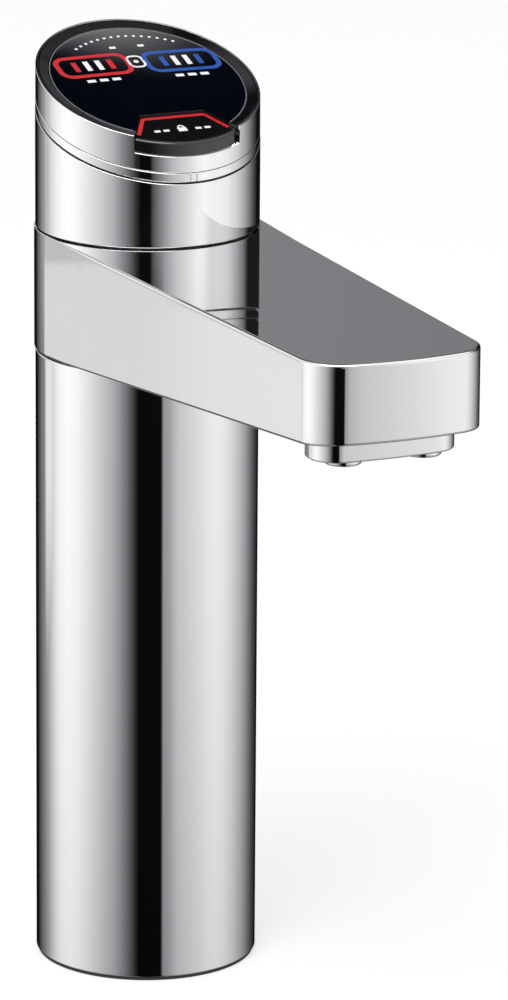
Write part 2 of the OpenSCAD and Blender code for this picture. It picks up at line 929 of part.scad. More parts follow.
module bezel_ring() {
    color(black_gloss)
        difference() {
            tilted_bar(bezel_r, disc_z, rim_z - 0.05);
            translate([0, 0, disc_z - 2 * column_r])
                cylinder(r = bezel_in_r, h = far);
            tilted_bar(bezel_r - bezel_w / 2, rim_z - disc_drop / 2, rim_z + 1);
            front_wedge(0, key_inner);
        }
}

module panel_carrier() {
    color(black_matt)
        difference() {
            union() {
                tilted_bar(bezel_r, carrier_z + face_play, disc_z - face_play);
                tilted_ring(skirt_r, skirt_r - skirt_wall, board_z - 0.5, carrier_z + 0.1);
                board_pegs(peg_r, board_z - 0.5, carrier_z + 0.1);
            }
            wedge_layer(0, key_inner - key_gap, 2 * column_r, board_top + 0.1, rim_z);
        }
}

// Four upright pegs that carry the board, between two tilted planes
module board_pegs(r, z0, z1) {
    intersection() {
        for (a = [45:90:315])
            rotate([0, 0, a])
                translate([peg_offset, 0, arm_top])
                    cylinder(r = r, h = far);
        tilted_layer(z0, z1);
    }
}

module touch_disc() {
    color(black_gloss)
        difference() {
            tilted_bar(disc_r, disc_z, disc_top);
            front_wedge(0, key_inner - key_gap);
        }
}

module control_board() {
    color("darkgreen")
        difference() {
            tilted_bar(board_r, board_z, board_top);
            board_pegs(peg_r + fit_gap, board_z - cut, board_top + cut);
        }
}

module panel_leds() {
    color("ivory")
        for (p = led_places)
            on_tilt(board_top + face_play)
                translate([p[0], p[1], led_size[2] / 2])
                    cube(led_size, center = true);
}

module key_switch() {
    color(black_matt)
        intersection() {
            translate([-switch_size / 2, -stem_y - switch_size / 2, arm_top])
                cube([switch_size, switch_size, far]);
            tilted_layer(board_top + face_play, switch_z);
        }
}

module safety_key() {
    color(black_gloss)
        difference() {
            union() {
                wedge_layer(key_gap, key_inner, key_r, key_plate_z, key_top);
                difference() {
                    wedge_layer(key_gap, key_inner, key_r, key_wall_z, key_top - 0.5);
                    translate([0, 0, arm_top])
                        cylinder(r = key_r - key_wall, h = far);
                }
                key_post(-stem_r, stem_r, -stem_y - stem_r, -stem_y + stem_r, stem_z);
                for (side = [-1, 1]) {
                    key_post(side * hook_x - hook_w / 2, side * hook_x + hook_w / 2,
                        -key_inner - hook_t, -key_inner, carrier_z - hook_t - face_play);
                    key_hook(side * hook_x);
                }
            }
            line_path(0);
        }
}

// An upright post under the key's plate that ends at the tilted plane z0
module key_post(x0, x1, y0, y1, z0) {
    intersection() {
        translate([x0, y0, arm_top])
            cube([x1 - x0, y1 - y0, far]);
        tilted_layer(z0, key_plate_z + 0.3);
    }
}

// The foot of a hook, which reaches under the panel carrier
module key_hook(x) {
    intersection() {
        translate([x - hook_w / 2, -key_inner - hook_t, arm_top])
            cube([hook_w, hook_t + hook_reach, far]);
        tilted_layer(carrier_z - hook_t - face_play, carrier_z - face_play);
    }
}

// The strip of the red line along the key's edge, made smaller by gap all round
module line_path(gap) {
    edge = line_inset + gap;
    inner = line_inset + line_w - gap;
    difference() {
        wedge_layer(key_gap + edge, key_inner + edge, key_r - line_end - gap,
            key_top - line_t + gap, key_top + (gap > 0 ? 0 : cut));
        front_wedge(key_gap + inner, key_inner + inner);
    }
}

module key_outline() {
    color("red")
        line_path(face_play);
}

foot_gasket();
foot_casting();
column_tube();
column_set_screws();
tube_clips();
boiling_feed_tube();
chilled_feed_tube();
vent_tube();
control_cable();
swivel_core();
column_oring();
hub_orings();
lower_thrust_washer();
upper_thrust_washer();
swivel_stop_pin();
spout_arm();
arm_underplate();
underplate_screws();
boiling_arm_tube();
chilled_arm_tube();
outlet_block();
block_screw();
boiling_nozzle();
chilled_nozzle();
boiling_insert();
chilled_insert();
nozzle_orings();
head_shell();
head_screws();
head_collar();
joint_gasket();
trim_ring();
cap_ring();
bezel_ring();
panel_carrier();
touch_disc();
control_board();
panel_leds();
key_switch();
safety_key();
key_outline();
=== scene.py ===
"""Looks of a bench tap for boiling and chilled water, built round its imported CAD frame.

Units are metres. +Z is up, the spout points to -Y and +X is to the right. Angles of the rings are
measured about the column's axis from the front (-Y) towards +X.
"""

from __future__ import annotations

import logging
import math
from dataclasses import dataclass
from enum import Enum
from typing import Any, Sequence

import bmesh
import bpy
import numpy as np
from mathutils import Matrix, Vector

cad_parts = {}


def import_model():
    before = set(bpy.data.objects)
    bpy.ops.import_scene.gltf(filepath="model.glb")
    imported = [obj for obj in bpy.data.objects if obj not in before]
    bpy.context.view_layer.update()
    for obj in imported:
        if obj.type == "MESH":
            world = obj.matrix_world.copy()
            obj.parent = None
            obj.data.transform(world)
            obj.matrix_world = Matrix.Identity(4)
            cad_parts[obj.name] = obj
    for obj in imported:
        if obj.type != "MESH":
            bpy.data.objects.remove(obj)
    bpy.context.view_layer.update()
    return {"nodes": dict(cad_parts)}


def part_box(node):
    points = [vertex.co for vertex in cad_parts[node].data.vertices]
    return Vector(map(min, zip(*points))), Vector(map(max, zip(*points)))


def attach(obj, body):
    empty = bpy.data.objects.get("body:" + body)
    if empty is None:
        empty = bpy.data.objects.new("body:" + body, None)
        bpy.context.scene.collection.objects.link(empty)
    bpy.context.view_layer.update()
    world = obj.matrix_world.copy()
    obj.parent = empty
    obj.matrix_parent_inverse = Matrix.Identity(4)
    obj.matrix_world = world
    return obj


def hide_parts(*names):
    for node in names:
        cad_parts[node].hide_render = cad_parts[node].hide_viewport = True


LOG = logging.getLogger("tap")
MM = 0.001
DEGREES = 180 / math.pi
Array = np.ndarray
Colour = tuple[float, float, float]


class Ends(Enum):
    """How a lofted surface is closed."""

    CAPPED = "capped"
    JOINED = "joined"


class Body(Enum):
    """The moving bodies of the tap."""

    TAP = "tap_body"
    SPOUT = "spout"
    KEY = "safety_button"


def span(node: str) -> tuple[Array, Array]:
    """Returns the lowest and the highest corner of a CAD node."""
    low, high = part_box(node)
    return np.array(low), np.array(high)


def ease(share: Array) -> Array:
    """Smooth step: 3 s squared minus 2 s cubed, with s kept between 0 and 1."""
    s = np.clip(share, 0, 1)
    return s * s * (3 - 2 * s)


def full_turn(steps: int) -> Array:
    """Returns even angles once round. The last isn't the first again."""
    return np.linspace(0, 2 * math.pi, steps, endpoint=False)


def quarter_turn(steps: int) -> Array:
    """Returns even angles from 0 to a quarter turn, both included."""
    return np.radians(np.linspace(0, 90, steps))


def at_height(plan: Array, height: Array | float) -> Array:
    """Returns the points of a plan at a height, which is one number or one for each point."""
    return np.column_stack([plan, np.broadcast_to(height, len(plan))])


def bow_radius(half: float, bow: float) -> float:
    """Radius of an arc, from half its chord h and its height b: (h squared + b squared) / (2 b)."""
    return (half**2 + bow**2) / (2 * bow)


def rounded(corners: Sequence[tuple[float, float]], radii: Sequence[float], steps: int = 6) -> Array:
    """Outline of a polygon with rounded corners.

    Each corner becomes an arc that is tangent to both its edges: its centre lies on the corner's
    bisector at radius / sin(half the angle), and its points turn evenly from one tangent point to
    the other. A point on each edge close to the arc keeps the flats flat when they are shaded.

    Args:
        corners: the polygon's corners, in order.
        radii: a radius for each corner.
        steps: the steps of each arc.

    Returns:
        The points, as an array of pairs.
    """
    least_radius, spare = 0.01 * MM, 0.12 * MM
    p = np.array(corners, float)
    r = np.maximum(np.array(radii, float), least_radius)[:, None]
    back, ahead = np.roll(p, 1, 0) - p, np.roll(p, -1, 0) - p
    back_len = np.linalg.norm(back, axis=1, keepdims=True)
    ahead_len = np.linalg.norm(ahead, axis=1, keepdims=True)
    back, ahead = back / back_len, ahead / ahead_len
    angle = np.arccos(np.clip((back * ahead).sum(1, keepdims=True), -1, 1))
    reach = r / np.tan(angle / 2)
    middle = (back + ahead) / np.linalg.norm(back + ahead, axis=1, keepdims=True)
    centre = p + middle * r / np.sin(angle / 2)
    first, last = p + back * reach - centre, p + ahead * reach - centre
    turn = (math.pi - angle)[:, :, None]
    s = np.linspace(0, 1, steps + 1)[None, :, None]
    arc = (np.sin((1 - s) * turn) * first[:, None] + np.sin(s * turn) * last[:, None]) / np.sin(turn)
    arc = arc + centre[:, None]
    lead = p + back * np.minimum(reach + spare, (reach + back_len / 2) / 2)
    trail = p + ahead * np.minimum(reach + spare, (reach + ahead_len / 2) / 2)
    return np.concatenate([lead[:, None], arc, trail[:, None]], 1).reshape(-1, 2)


def across(path: Array, shares: Sequence[float], width: float, closed: bool = False) -> Array:
    """Points across a flat line that follows a path.

    Formula: path + side * share * width / 2. The side is square to the way from the point before to
    the point after.

    Args:
        path: the points of the line's middle, as pairs.
        shares: where the points across lie, from -1 at one edge of the line to 1 at the other.
        width: the line's width.
        closed: whether the path is a ring.

    Returns:
        An array of path points by shares by 2.
    """
    ahead = np.roll(path, -1, 0) - np.roll(path, 1, 0)
    if not closed:
        ahead[0], ahead[-1] = path[1] - path[0], path[-1] - path[-2]
    ahead /= np.linalg.norm(ahead, axis=1, keepdims=True)
    side = np.column_stack([-ahead[:, 1], ahead[:, 0]])
    return path[:, None] + side[:, None] * (np.array(shares) * width / 2)[None, :, None]


def ring_rows(radius: Array, height: Array, theta: Array, slope: Array | float = 0.0) -> Array:
    """Points of a ring profile that is carried round the axis.

    Formula: x = r sin(theta), y = -r cos(theta), z = height + slope * y.

    Args:
        radius: distance from the axis, for each profile point or each station and profile point.
        height: height at the axis, in the same form.
        theta: the stations' angles.
        slope: how steeply each profile point's height falls towards the front.

    Returns:
        An array of stations by profile points by 3.
    """
    a = np.asarray(theta)[:, None]
    r, z, k, a = np.broadcast_arrays(radius, height, slope, a)
    y = -r * np.cos(a)
    return np.stack([r * np.sin(a), y, z + k * y], -1)


@dataclass(frozen=True)
class Arc:
    """One arc of an outline, from one direction of its outward normal to another, in degrees."""

    centre: tuple[float, float]
    radius: float
    start: float
    end: float
    steps: int = 12


@dataclass(frozen=True)
class Outline:
    """A closed outline of arcs and of the lines that join them at a tangent.

    A point is centre + radius * (cos, sin) of its normal's angle, so an outline moved inwards has
    the same centres and smaller radii.
    """

    centre: Array
    radius: Array
    normal: Array

    @classmethod
    def through(cls, arcs: Sequence[Arc], line_steps: int = 2) -> Outline:
        """Joins arcs into a closed outline.

        Args:
            arcs: the arcs, in order, each starting in the direction in which the last one ended.
            line_steps: the points put on each line between two arcs.

        Returns:
            The outline.
        """
        shortest, edge_length, edge_most = 1e-9, 0.3 * MM, 0.2
        rows = []
        for arc, following in zip(arcs, [*arcs[1:], arcs[0]]):
            turn = np.radians(np.linspace(arc.start, arc.end, arc.steps + 1))
            start = np.array([*arc.centre, arc.radius])
            stop = np.array([*following.centre, following.radius])
            length = max(float(np.linalg.norm(stop[:2] - start[:2])), shortest)
            edge = min(edge_most, edge_length / length)
            shares = np.concatenate([[edge], np.linspace(0, 1, line_steps + 2)[1:-1], [1 - edge]])
            line = start + (stop - start) * shares[:, None]
            still = np.full(len(shares), math.radians(arc.end))
            rows.append(np.column_stack([np.tile(start, (len(turn), 1)), turn]))
            rows.append(np.column_stack([line, still]))
        table = np.concatenate(rows)
        return cls(table[:, :2], table[:, 2], table[:, 3])

    def points(self, inset: Array | float = 0.0) -> Array:
        """Returns the outline's points, moved inwards by inset."""
        r = (self.radius - inset)[:, None]
        return self.centre + r * np.column_stack([np.cos(self.normal), np.sin(self.normal)])


class Solid:
    """Collects closed surfaces and makes one mesh object of them."""

    merge_distance = 1e-7
    least_edge = 1e-8

    def __init__(self) -> None:
        """Starts an empty solid."""
        self.points: list[Array] = []
        self.faces: list[list[int]] = []
        self.count = 0

    def loft(self, rows: Array, ends: Ends = Ends.CAPPED) -> Solid:
        """Adds a closed surface through rows of points.

        Each row is a closed loop. Neighbouring rows are joined by a belt of four-sided faces, and
        the surface is turned round if its enclosed volume, the sum of origin-to-face tetrahedra,
        comes out negative.

        Args:
            rows: an array of rows by points by 3.
            ends: CAPPED closes the first and last row, JOINED joins them to each other.

        Returns:
            This solid.
        """
        n_rows, n_cols = rows.shape[:2]
        belts = n_rows if ends is Ends.JOINED else n_rows - 1
        i, j = np.meshgrid(np.arange(belts), np.arange(n_cols), indexing="ij")
        i_next, j_next = (i + 1) % n_rows, (j + 1) % n_cols
        corners = [i * n_cols + j, i * n_cols + j_next, i_next * n_cols + j_next, i_next * n_cols + j]
        quads = np.stack(corners, -1).reshape(-1, 4)
        flat = rows.reshape(-1, 3)
        faces = quads.tolist()
        triangles = [quads[:, [0, 1, 2]], quads[:, [0, 2, 3]]]
        if ends is Ends.CAPPED:
            for ring in (np.arange(n_cols)[::-1], (n_rows - 1) * n_cols + np.arange(n_cols)):
                faces.append(ring.tolist())
                fan = np.column_stack([np.full(n_cols - 2, ring[0]), ring[1:-1], ring[2:]])
                triangles.append(fan)
        a, b, c = flat[np.concatenate(triangles)].transpose(1, 0, 2)
        if float((a * np.cross(b, c)).sum()) < 0:
            faces = [face[::-1] for face in faces]
        self.points.append(flat)
        self.faces.extend([[k + self.count for k in face] for face in faces])
        self.count += len(flat)
        return self

    def make(self, name: str) -> bpy.types.Object:
        """Makes the object.

        Args:
            name: the object's name.

        Returns:
            The new object, at the origin, with its place in its mesh.
        """
        mesh = bpy.data.meshes.new(name)
        mesh.from_pydata(np.concatenate(self.points), [], self.faces)
        work = bmesh.new()
        work.from_mesh(mesh)
        bmesh.ops.remove_doubles(work, verts=work.verts, dist=self.merge_distance)
        bmesh.ops.dissolve_degenerate(work, edges=work.edges, dist=self.least_edge)
        work.to_mesh(mesh)
        work.free()
        shade(mesh)
        made = bpy.data.objects.new(name, mesh)
        bpy.context.scene.collection.objects.link(made)
        return made


def shade(mesh: bpy.types.Mesh, crease_deg: float = 38.0) -> None:
    """Shades a mesh smooth, and sharp at the edges that bend by more than the crease's angle."""
    mesh.shade_smooth()
    mesh.set_sharp_from_angle(angle=math.radians(crease_deg))


def cut(target: bpy.types.Object, cutters: Sequence[bpy.types.Object]) -> None:
    """Takes the cutters' volumes out of an object and deletes the cutters.

    Args:
        target: the object that is cut.
        cutters: closed objects.
    """
    for cutter in cutters:
        modifier = target.modifiers.new("cut", "BOOLEAN")
        modifier.operation = "DIFFERENCE"
        modifier.solver = "EXACT"
        modifier.object = cutter
    graph = bpy.context.evaluated_depsgraph_get()
    mesh = bpy.data.meshes.new_from_object(target.evaluated_get(graph))
    target.modifiers.clear()
    target.data = mesh
    shade(mesh)
    for cutter in cutters:
        bpy.data.objects.remove(cutter)


def even_normals(piece: bpy.types.Object) -> None:
    """Lets large faces lead the shading, so that flats beside small roundings stay flat.

    Args:
        piece: the object that gets the modifier.
    """
    modifier = piece.modifiers.new("even_normals", "WEIGHTED_NORMAL")
    modifier.keep_sharp = True
    modifier.weight = 80


def rod(start: Sequence[float], end: Sequence[float], radius: float, steps: int = 48) -> Array:
    """Rows of a straight round bar.

    Formula: a circle in the plane square to the bar, at its start and at its end.

    Args:
        start: the middle of one end.
        end: the middle of the other end.
        radius: the bar's radius.
        steps: the points of each circle.

    Returns:
        An array of 2 rows by steps by 3.
    """
    upright = 0.9
    a, b = np.array(start, float), np.array(end, float)
    axis = (b - a) / np.linalg.norm(b - a)
    side = np.cross(axis, [0.0, 0.0, 1.0] if abs(axis[2]) < upright else [1.0, 0.0, 0.0])
    side /= np.linalg.norm(side)
    other = np.cross(axis, side)
    turn = full_turn(steps)[:, None]
    circle = radius * (np.cos(turn) * side + np.sin(turn) * other)
    return np.stack([a + circle, b + circle])


def drill(start: Sequence[float], end: Sequence[float], radius: float) -> bpy.types.Object:
    """Returns the cutter of a round hole that runs from one point to another."""
    return Solid().loft(rod(start, end, radius)).make("drill")


class Value:
    """A shader socket that adds Math nodes when it is used in an expression."""

    def __init__(self, graph: Graph, socket: bpy.types.NodeSocket) -> None:
        """Wraps a socket of a graph."""
        self.graph = graph
        self.socket = socket

    def _math(self, operation: str, *values: Any) -> Value:
        """Returns the result of a Math node."""
        return self.graph.node("ShaderNodeMath", {"operation": operation}, dict(enumerate(values)))

    def __add__(self, other: Any) -> Value:
        """Returns self + other."""
        return self._math("ADD", self, other)

    __radd__ = __add__

    def __sub__(self, other: Any) -> Value:
        """Returns self - other."""
        return self._math("SUBTRACT", self, other)

    def __rsub__(self, other: Any) -> Value:
        """Returns other - self."""
        return self._math("SUBTRACT", other, self)

    def __mul__(self, other: Any) -> Value:
        """Returns self * other."""
        return self._math("MULTIPLY", self, other)

    __rmul__ = __mul__

    def __truediv__(self, other: Any) -> Value:
        """Returns self / other."""
        return self._math("DIVIDE", self, other)

    def __neg__(self) -> Value:
        """Returns -self."""
        return self._math("MULTIPLY", self, -1.0)

    def atan2(self, other: Any) -> Value:
        """Returns the angle of the vector (other, self)."""
        return self._math("ARCTAN2", self, other)

    def asin(self) -> Value:
        """Returns the arc sine."""
        return self._math("ARCSINE", self)

    def most(self, other: Any) -> Value:
        """Returns the larger of the two."""
        return self._math("MAXIMUM", self, other)

    def least(self, other: Any) -> Value:
        """Returns the smaller of the two."""
        return self._math("MINIMUM", self, other)

    def step(self, low: float, high: float) -> Value:
        """Returns a smooth step from 0 at low to 1 at high."""
        values = {"Value": self, "From Min": low, "From Max": high}
        return self.graph.node("ShaderNodeMapRange", {"interpolation_type": "SMOOTHSTEP"}, values)

    def inside(self, rise: float, full: float, fall: float, end: float) -> Value:
        """Returns 1 from full to fall, 0 before rise and after end, and smooth steps between them."""
        return self.step(rise, full) * (1 - self.step(fall, end))

    def output(self, name: str | int) -> Value:
        """Returns another output of this value's node."""
        return Value(self.graph, self.socket.node.outputs[name])


class Graph:
    """The node tree of one material or of the world."""

    def __init__(self, tree: bpy.types.NodeTree) -> None:
        """Clears a tree and gets ready to fill it."""
        self.tree = tree
        tree.nodes.clear()

    def node(self, kind: str, settings: dict[str, Any], values: dict[Any, Any], out: Any = 0) -> Value:
        """Adds a node.

        Args:
            kind: the node's type.
            settings: properties that are set first. "stops" fills a colour ramp.
            values: numbers, colours or links for its sockets, by name or number.
            out: the name or number of the output that is returned.

        Returns:
            The output, wrapped.
        """
        made = self.tree.nodes.new(kind)
        for name, setting in settings.items():
            if name == "stops":
                self._fill(made.color_ramp, setting)
            else:
                setattr(made, name, setting)
        for key, value in values.items():
            socket = made.inputs[key]
            if isinstance(value, Value):
                self.tree.links.new(value.socket, socket)
            else:
                socket.default_value = value
        return Value(self, made.outputs[out]) if made.outputs else Value(self, None)

    @staticmethod
    def _fill(ramp: bpy.types.ColorRamp, stops: Sequence[tuple[float, Colour]]) -> None:
        """Fills a colour ramp.

        Args:
            ramp: the ramp, which holds 32 stops at most.
            stops: places from 0 to 1, each with its colour.
        """
        while len(ramp.elements) > 1:
            ramp.elements.remove(ramp.elements[-1])
        ramp.elements[0].position = stops[0][0]
        ramp.elements[0].color = (*stops[0][1], 1.0)
        for place, colour in stops[1:]:
            ramp.elements.new(place).color = (*colour, 1.0)

    def place(self) -> Value:
        """Returns Object coordinates."""
        return self.node("ShaderNodeTexCoord", {}, {}, "Object")

    def noise(self, scale: float, detail: float = 2.0, roughness: float = 0.5) -> Value:
        """Returns a noise from 0 to 1 with that many cells in a metre."""
        values = {"Vector": self.place(), "Scale": scale, "Detail": detail, "Roughness": roughness}
        return self.node("ShaderNodeTexNoise", {}, values)

    def blend(self, factor: Any, first: Any, second: Any) -> Value:
        """Mixes two colours.

        Args:
            factor: 0 for the first colour and 1 for the second.
            first: a colour or a link.
            second: a colour or a link.

        Returns:
            The mixed colour.
        """
        made = self.tree.nodes.new("ShaderNodeMix")
        made.data_type = "RGBA"
        for socket, value in zip((made.inputs[0], made.inputs[6], made.inputs[7]), (factor, first, second)):
            if isinstance(value, Value):
                self.tree.links.new(value.socket, socket)
            else:
                socket.default_value = (*value, 1.0) if isinstance(value, tuple) else value
        return Value(self, made.outputs[2])

    def bump(self, height: Value, strength: float, distance: float) -> Value:
        """Returns a normal from a height."""
        values = {"Height": height, "Strength": strength, "Distance": distance}
        return self.node("ShaderNodeBump", {}, values)


@dataclass(frozen=True)
class Finish:
    """A surface finish: a Principled shader with its own fine variation.

    Its tone drifts between colour and tint in patches that are broader than the grain, and the
    grain varies its roughness by the spread and gives it a fine relief.
    """

    name: str
    colour: Colour
    roughness: float
    metallic: float = 0.0
    coat: float = 0.0
    spread: float = 0.25
    tint: Colour | None = None
    grain: float = 700.0
    relief: float = 0.05
    relief_depth: float = 0.02 * MM
    specular: float = 0.5
    coat_roughness: float = 0.02
    patch: float = 12.0
    fade: float = 0.9

    def material(self) -> bpy.types.Material:
        """Builds the material, unless it is there already.

        Returns:
            The material of this finish.
        """
        known = bpy.data.materials.get(self.name)
        if known:
            return known
        made = bpy.data.materials.new(self.name)
        made.use_nodes = True
        graph = Graph(made.node_tree)
        values = {
            "Metallic": self.metallic,
            "Coat Weight": self.coat,
            "Coat Roughness": self.coat_roughness,
            "Specular IOR Level": self.specular,
        }
        values |= self.surface(graph)
        shader = graph.node("ShaderNodeBsdfPrincipled", {}, values)
        graph.node("ShaderNodeOutputMaterial", {}, {"Surface": shader})
        return made

    def surface(self, graph: Graph) -> dict[str, Any]:
        """Returns what varies over the surface.

        Args:
            graph: the material's graph.

        Returns:
            The links for Base Color, Roughness and Normal.
        """
        fine = graph.noise(self.grain, detail=3.0)
        broad = graph.noise(self.grain / self.patch)
        other = self.tint or tuple(self.fade * c for c in self.colour)
        return {
            "Base Color": graph.blend(broad, self.colour, other),
            "Roughness": self.roughness * (1 - self.spread) + fine * (2 * self.spread * self.roughness),
            "Normal": graph.bump(fine, self.relief, self.relief_depth),
        }


@dataclass(frozen=True)
class Chrome(Finish):
    """Mirror chrome plate: a slow waviness left by the polishing and a faint haze."""

    wave: float = 38.0
    clear: float = 0.6
    haze: float = 0.9
    haze_from: tuple[float, float] = (0.35, 0.75)

    def surface(self, graph: Graph) -> dict[str, Any]:
        """Gives the haze, the tone and the polishing waves.

        Args:
            graph: the material's graph.

        Returns:
            The links for Base Color, Roughness and Normal.
        """
        haze = graph.noise(self.grain, detail=4.0, roughness=0.6).step(*self.haze_from)
        broad = graph.noise(self.wave, detail=1.0)
        return {
            "Base Color": graph.blend(broad, self.colour, self.tint or self.colour),
            "Roughness": self.roughness * self.clear + haze * (self.roughness * self.haze),
            "Normal": graph.bump(broad, self.relief, self.relief_depth),
        }


@dataclass(frozen=True)
class Turned(Finish):
    """Metal from the lathe: fine rings round the axis."""

    pitch: float = 0.35 * MM
    band_scale: float = 0.3

    def surface(self, graph: Graph) -> dict[str, Any]:
        """Gives the tone and the tool marks, as bands across the axis.

        Args:
            graph: the material's graph.

        Returns:
            The links for Base Color, Roughness and Normal.
        """
        scale = self.band_scale / self.pitch
        marks = graph.node(
            "ShaderNodeTexWave",
            {"wave_type": "BANDS", "bands_direction": "Z"},
            {"Vector": graph.place(), "Scale": scale, "Distortion": 0.6, "Detail": 1.0},
            "Fac",
        )
        links = Finish.surface(self, graph)
        links["Normal"] = graph.bump(marks, self.relief, self.relief_depth)
        return links


@dataclass(frozen=True)
class SolderMask(Finish):
    """Green circuit board with fine copper tracks under the mask."""

    def surface(self, graph: Graph) -> dict[str, Any]:
        """Gives the tracks, as lighter lines of a brick pattern.

        Args:
            graph: the material's graph.

        Returns:
            The links for Base Color, Roughness and Normal.
        """
        tracks = graph.node(
            "ShaderNodeTexBrick",
            {"offset": 0.35, "squash": 2.0, "squash_frequency": 3},
            {"Vector": graph.place(), "Scale": 240.0, "Mortar Size": 0.06, "Color1": (0, 0, 0, 1),
             "Color2": (0, 0, 0, 1), "Mortar": (1, 1, 1, 1)},
            "Fac",
        )
        links = Finish.surface(self, graph)
        links["Base Color"] = graph.blend(tracks, self.colour, self.tint)
        return links


CHROME = Chrome("chrome_plate", (0.885, 0.886, 0.89), 0.028, metallic=1.0, tint=(0.87, 0.871, 0.876),
                grain=420.0, relief=0.03)
SATIN = Chrome("satin_plate", (0.74, 0.745, 0.76), 0.2, metallic=1.0, tint=(0.7, 0.705, 0.72), grain=900.0)
BRASS = Turned("turned_brass", (0.78, 0.62, 0.33), 0.3, metallic=1.0, tint=(0.7, 0.54, 0.28), relief=0.25)
STEEL = Turned("plain_steel", (0.62, 0.63, 0.65), 0.28, metallic=1.0, tint=(0.55, 0.56, 0.58), relief=0.2)
TUBE = Turned("drawn_tube", (0.7, 0.68, 0.64), 0.32, metallic=1.0, tint=(0.62, 0.6, 0.57), relief=0.1)
RUBBER = Finish("black_rubber", (0.022, 0.022, 0.023), 0.72, tint=(0.035, 0.035, 0.036), grain=1500.0,
                relief=0.35)
PLASTIC = Finish("black_plastic", (0.03, 0.03, 0.034), 0.48, tint=(0.045, 0.045, 0.05), grain=1200.0,
                 relief=0.3)
NYLON = Finish("white_nylon", (0.8, 0.8, 0.77), 0.45, tint=(0.72, 0.72, 0.69), grain=900.0, relief=0.15)
JACKET = Finish("cable_jacket", (0.05, 0.05, 0.055), 0.55, tint=(0.07, 0.07, 0.075), grain=800.0,
                relief=0.2)
GLOSS = Finish("panel_glass", (0.0012, 0.0018, 0.004), 0.05, coat=1.0, tint=(0.0017, 0.0025, 0.0056),
               grain=160.0, relief=0.01)
KEY_GLOSS = Finish("key_gloss", (0.004, 0.004, 0.005), 0.06, coat=0.8, tint=(0.006, 0.006, 0.0075),
                   grain=300.0, relief=0.02, specular=0.4)
CUT_EDGE = Finish("cut_edge", (0.004, 0.004, 0.005), 0.4, tint=(0.006, 0.006, 0.007), grain=900.0,
                  relief=0.05, specular=0.1)
MASK = SolderMask("solder_mask", (0.03, 0.15, 0.07), 0.4, tint=(0.06, 0.26, 0.12))
LED = Finish("led_lens", (0.86, 0.85, 0.76), 0.25, tint=(0.78, 0.77, 0.66), grain=2500.0, relief=0.1)
RED = Finish("red_enamel", (0.62, 0.012, 0.02), 0.3, coat=0.5, tint=(0.5, 0.01, 0.016), grain=1500.0)
BLUE = Finish("blue_enamel", (0.012, 0.085, 0.42), 0.3, coat=0.5, tint=(0.01, 0.065, 0.34), grain=1500.0)
# Painted highlight: a grey print that stands for the light caught by the touch disc's edge.
EDGE_HIGHLIGHT = Finish("painted_edge_highlight", (0.2, 0.205, 0.215), 0.3, coat=0.4, tint=(0.17, 0.175, 0.185), grain=1500.0)
WHITE = Finish("white_enamel", (0.86, 0.87, 0.88), 0.35, coat=0.4, tint=(0.76, 0.77, 0.79), grain=1500.0)

NODE_FINISHES: dict[str, Finish] = {
    "foot_gasket": RUBBER,
    "foot_casting": BRASS,
    "column_set_screws": STEEL,
    "tube_clips": PLASTIC,
    "boiling_feed_tube": TUBE,
    "chilled_feed_tube": TUBE,
    "vent_tube": NYLON,
    "control_cable": JACKET,
    "swivel_core": BRASS,
    "column_oring": RUBBER,
    "hub_orings": RUBBER,
    "lower_thrust_washer": PLASTIC,
    "upper_thrust_washer": PLASTIC,
    "swivel_stop_pin": STEEL,
    "arm_underplate": SATIN,
    "underplate_screws": STEEL,
    "boiling_arm_tube": TUBE,
    "chilled_arm_tube": TUBE,
    "block_screw": STEEL,
    "boiling_insert": NYLON,
    "chilled_insert": NYLON,
    "nozzle_orings": RUBBER,
    "head_screws": STEEL,
    "head_collar": PLASTIC,
    "joint_gasket": RUBBER,
    "panel_carrier": PLASTIC,
    "control_board": MASK,
    "panel_leds": LED,
    "key_switch": PLASTIC,
}


def place(piece: bpy.types.Object, body: Body, finish: Finish, slot: str, *nodes: str) -> None:
    """Dresses a piece, lets it ride on its body and hides the CAD nodes that it stands for.

    Args:
        piece: the new object.
        body: the body that it moves with.
        finish: its finish.
        slot: not used.
        *nodes: the CAD nodes that it replaces.
    """
    piece.data.materials.clear()
    piece.data.materials.append(finish.material())
    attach(piece, body.value)
    if nodes:
        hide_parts(*nodes)
    LOG.info("%s: %d faces on %s", piece.name, len(piece.data.polygons), body.value)


def plate(piece: bpy.types.Object, body: Body, node: str) -> None:
    """Finishes a chrome piece that stands for a CAD node, with even shading."""
    even_normals(piece)
    place(piece, body, CHROME, "chrome", node)


def darken_walls(piece: bpy.types.Object, front: float) -> None:
    """Gives the cut walls of a panel piece a dull finish: the faces that neither look up nor are its front.

    Args:
        piece: the disc or the key.
        front: faces that are further than this from the axis and look outward keep their gloss.
    """
    looks_up, looks_out = 0.72, 0.5
    piece.data.materials.append(CUT_EDGE.material())
    for face in piece.data.polygons:
        x, y, _ = face.center
        reach = math.hypot(x, y)
        outward = (face.normal.x * x + face.normal.y * y) / max(reach, MM)
        if face.normal.z < looks_up and not (outward > looks_out and reach > front):
            face.material_index = 1


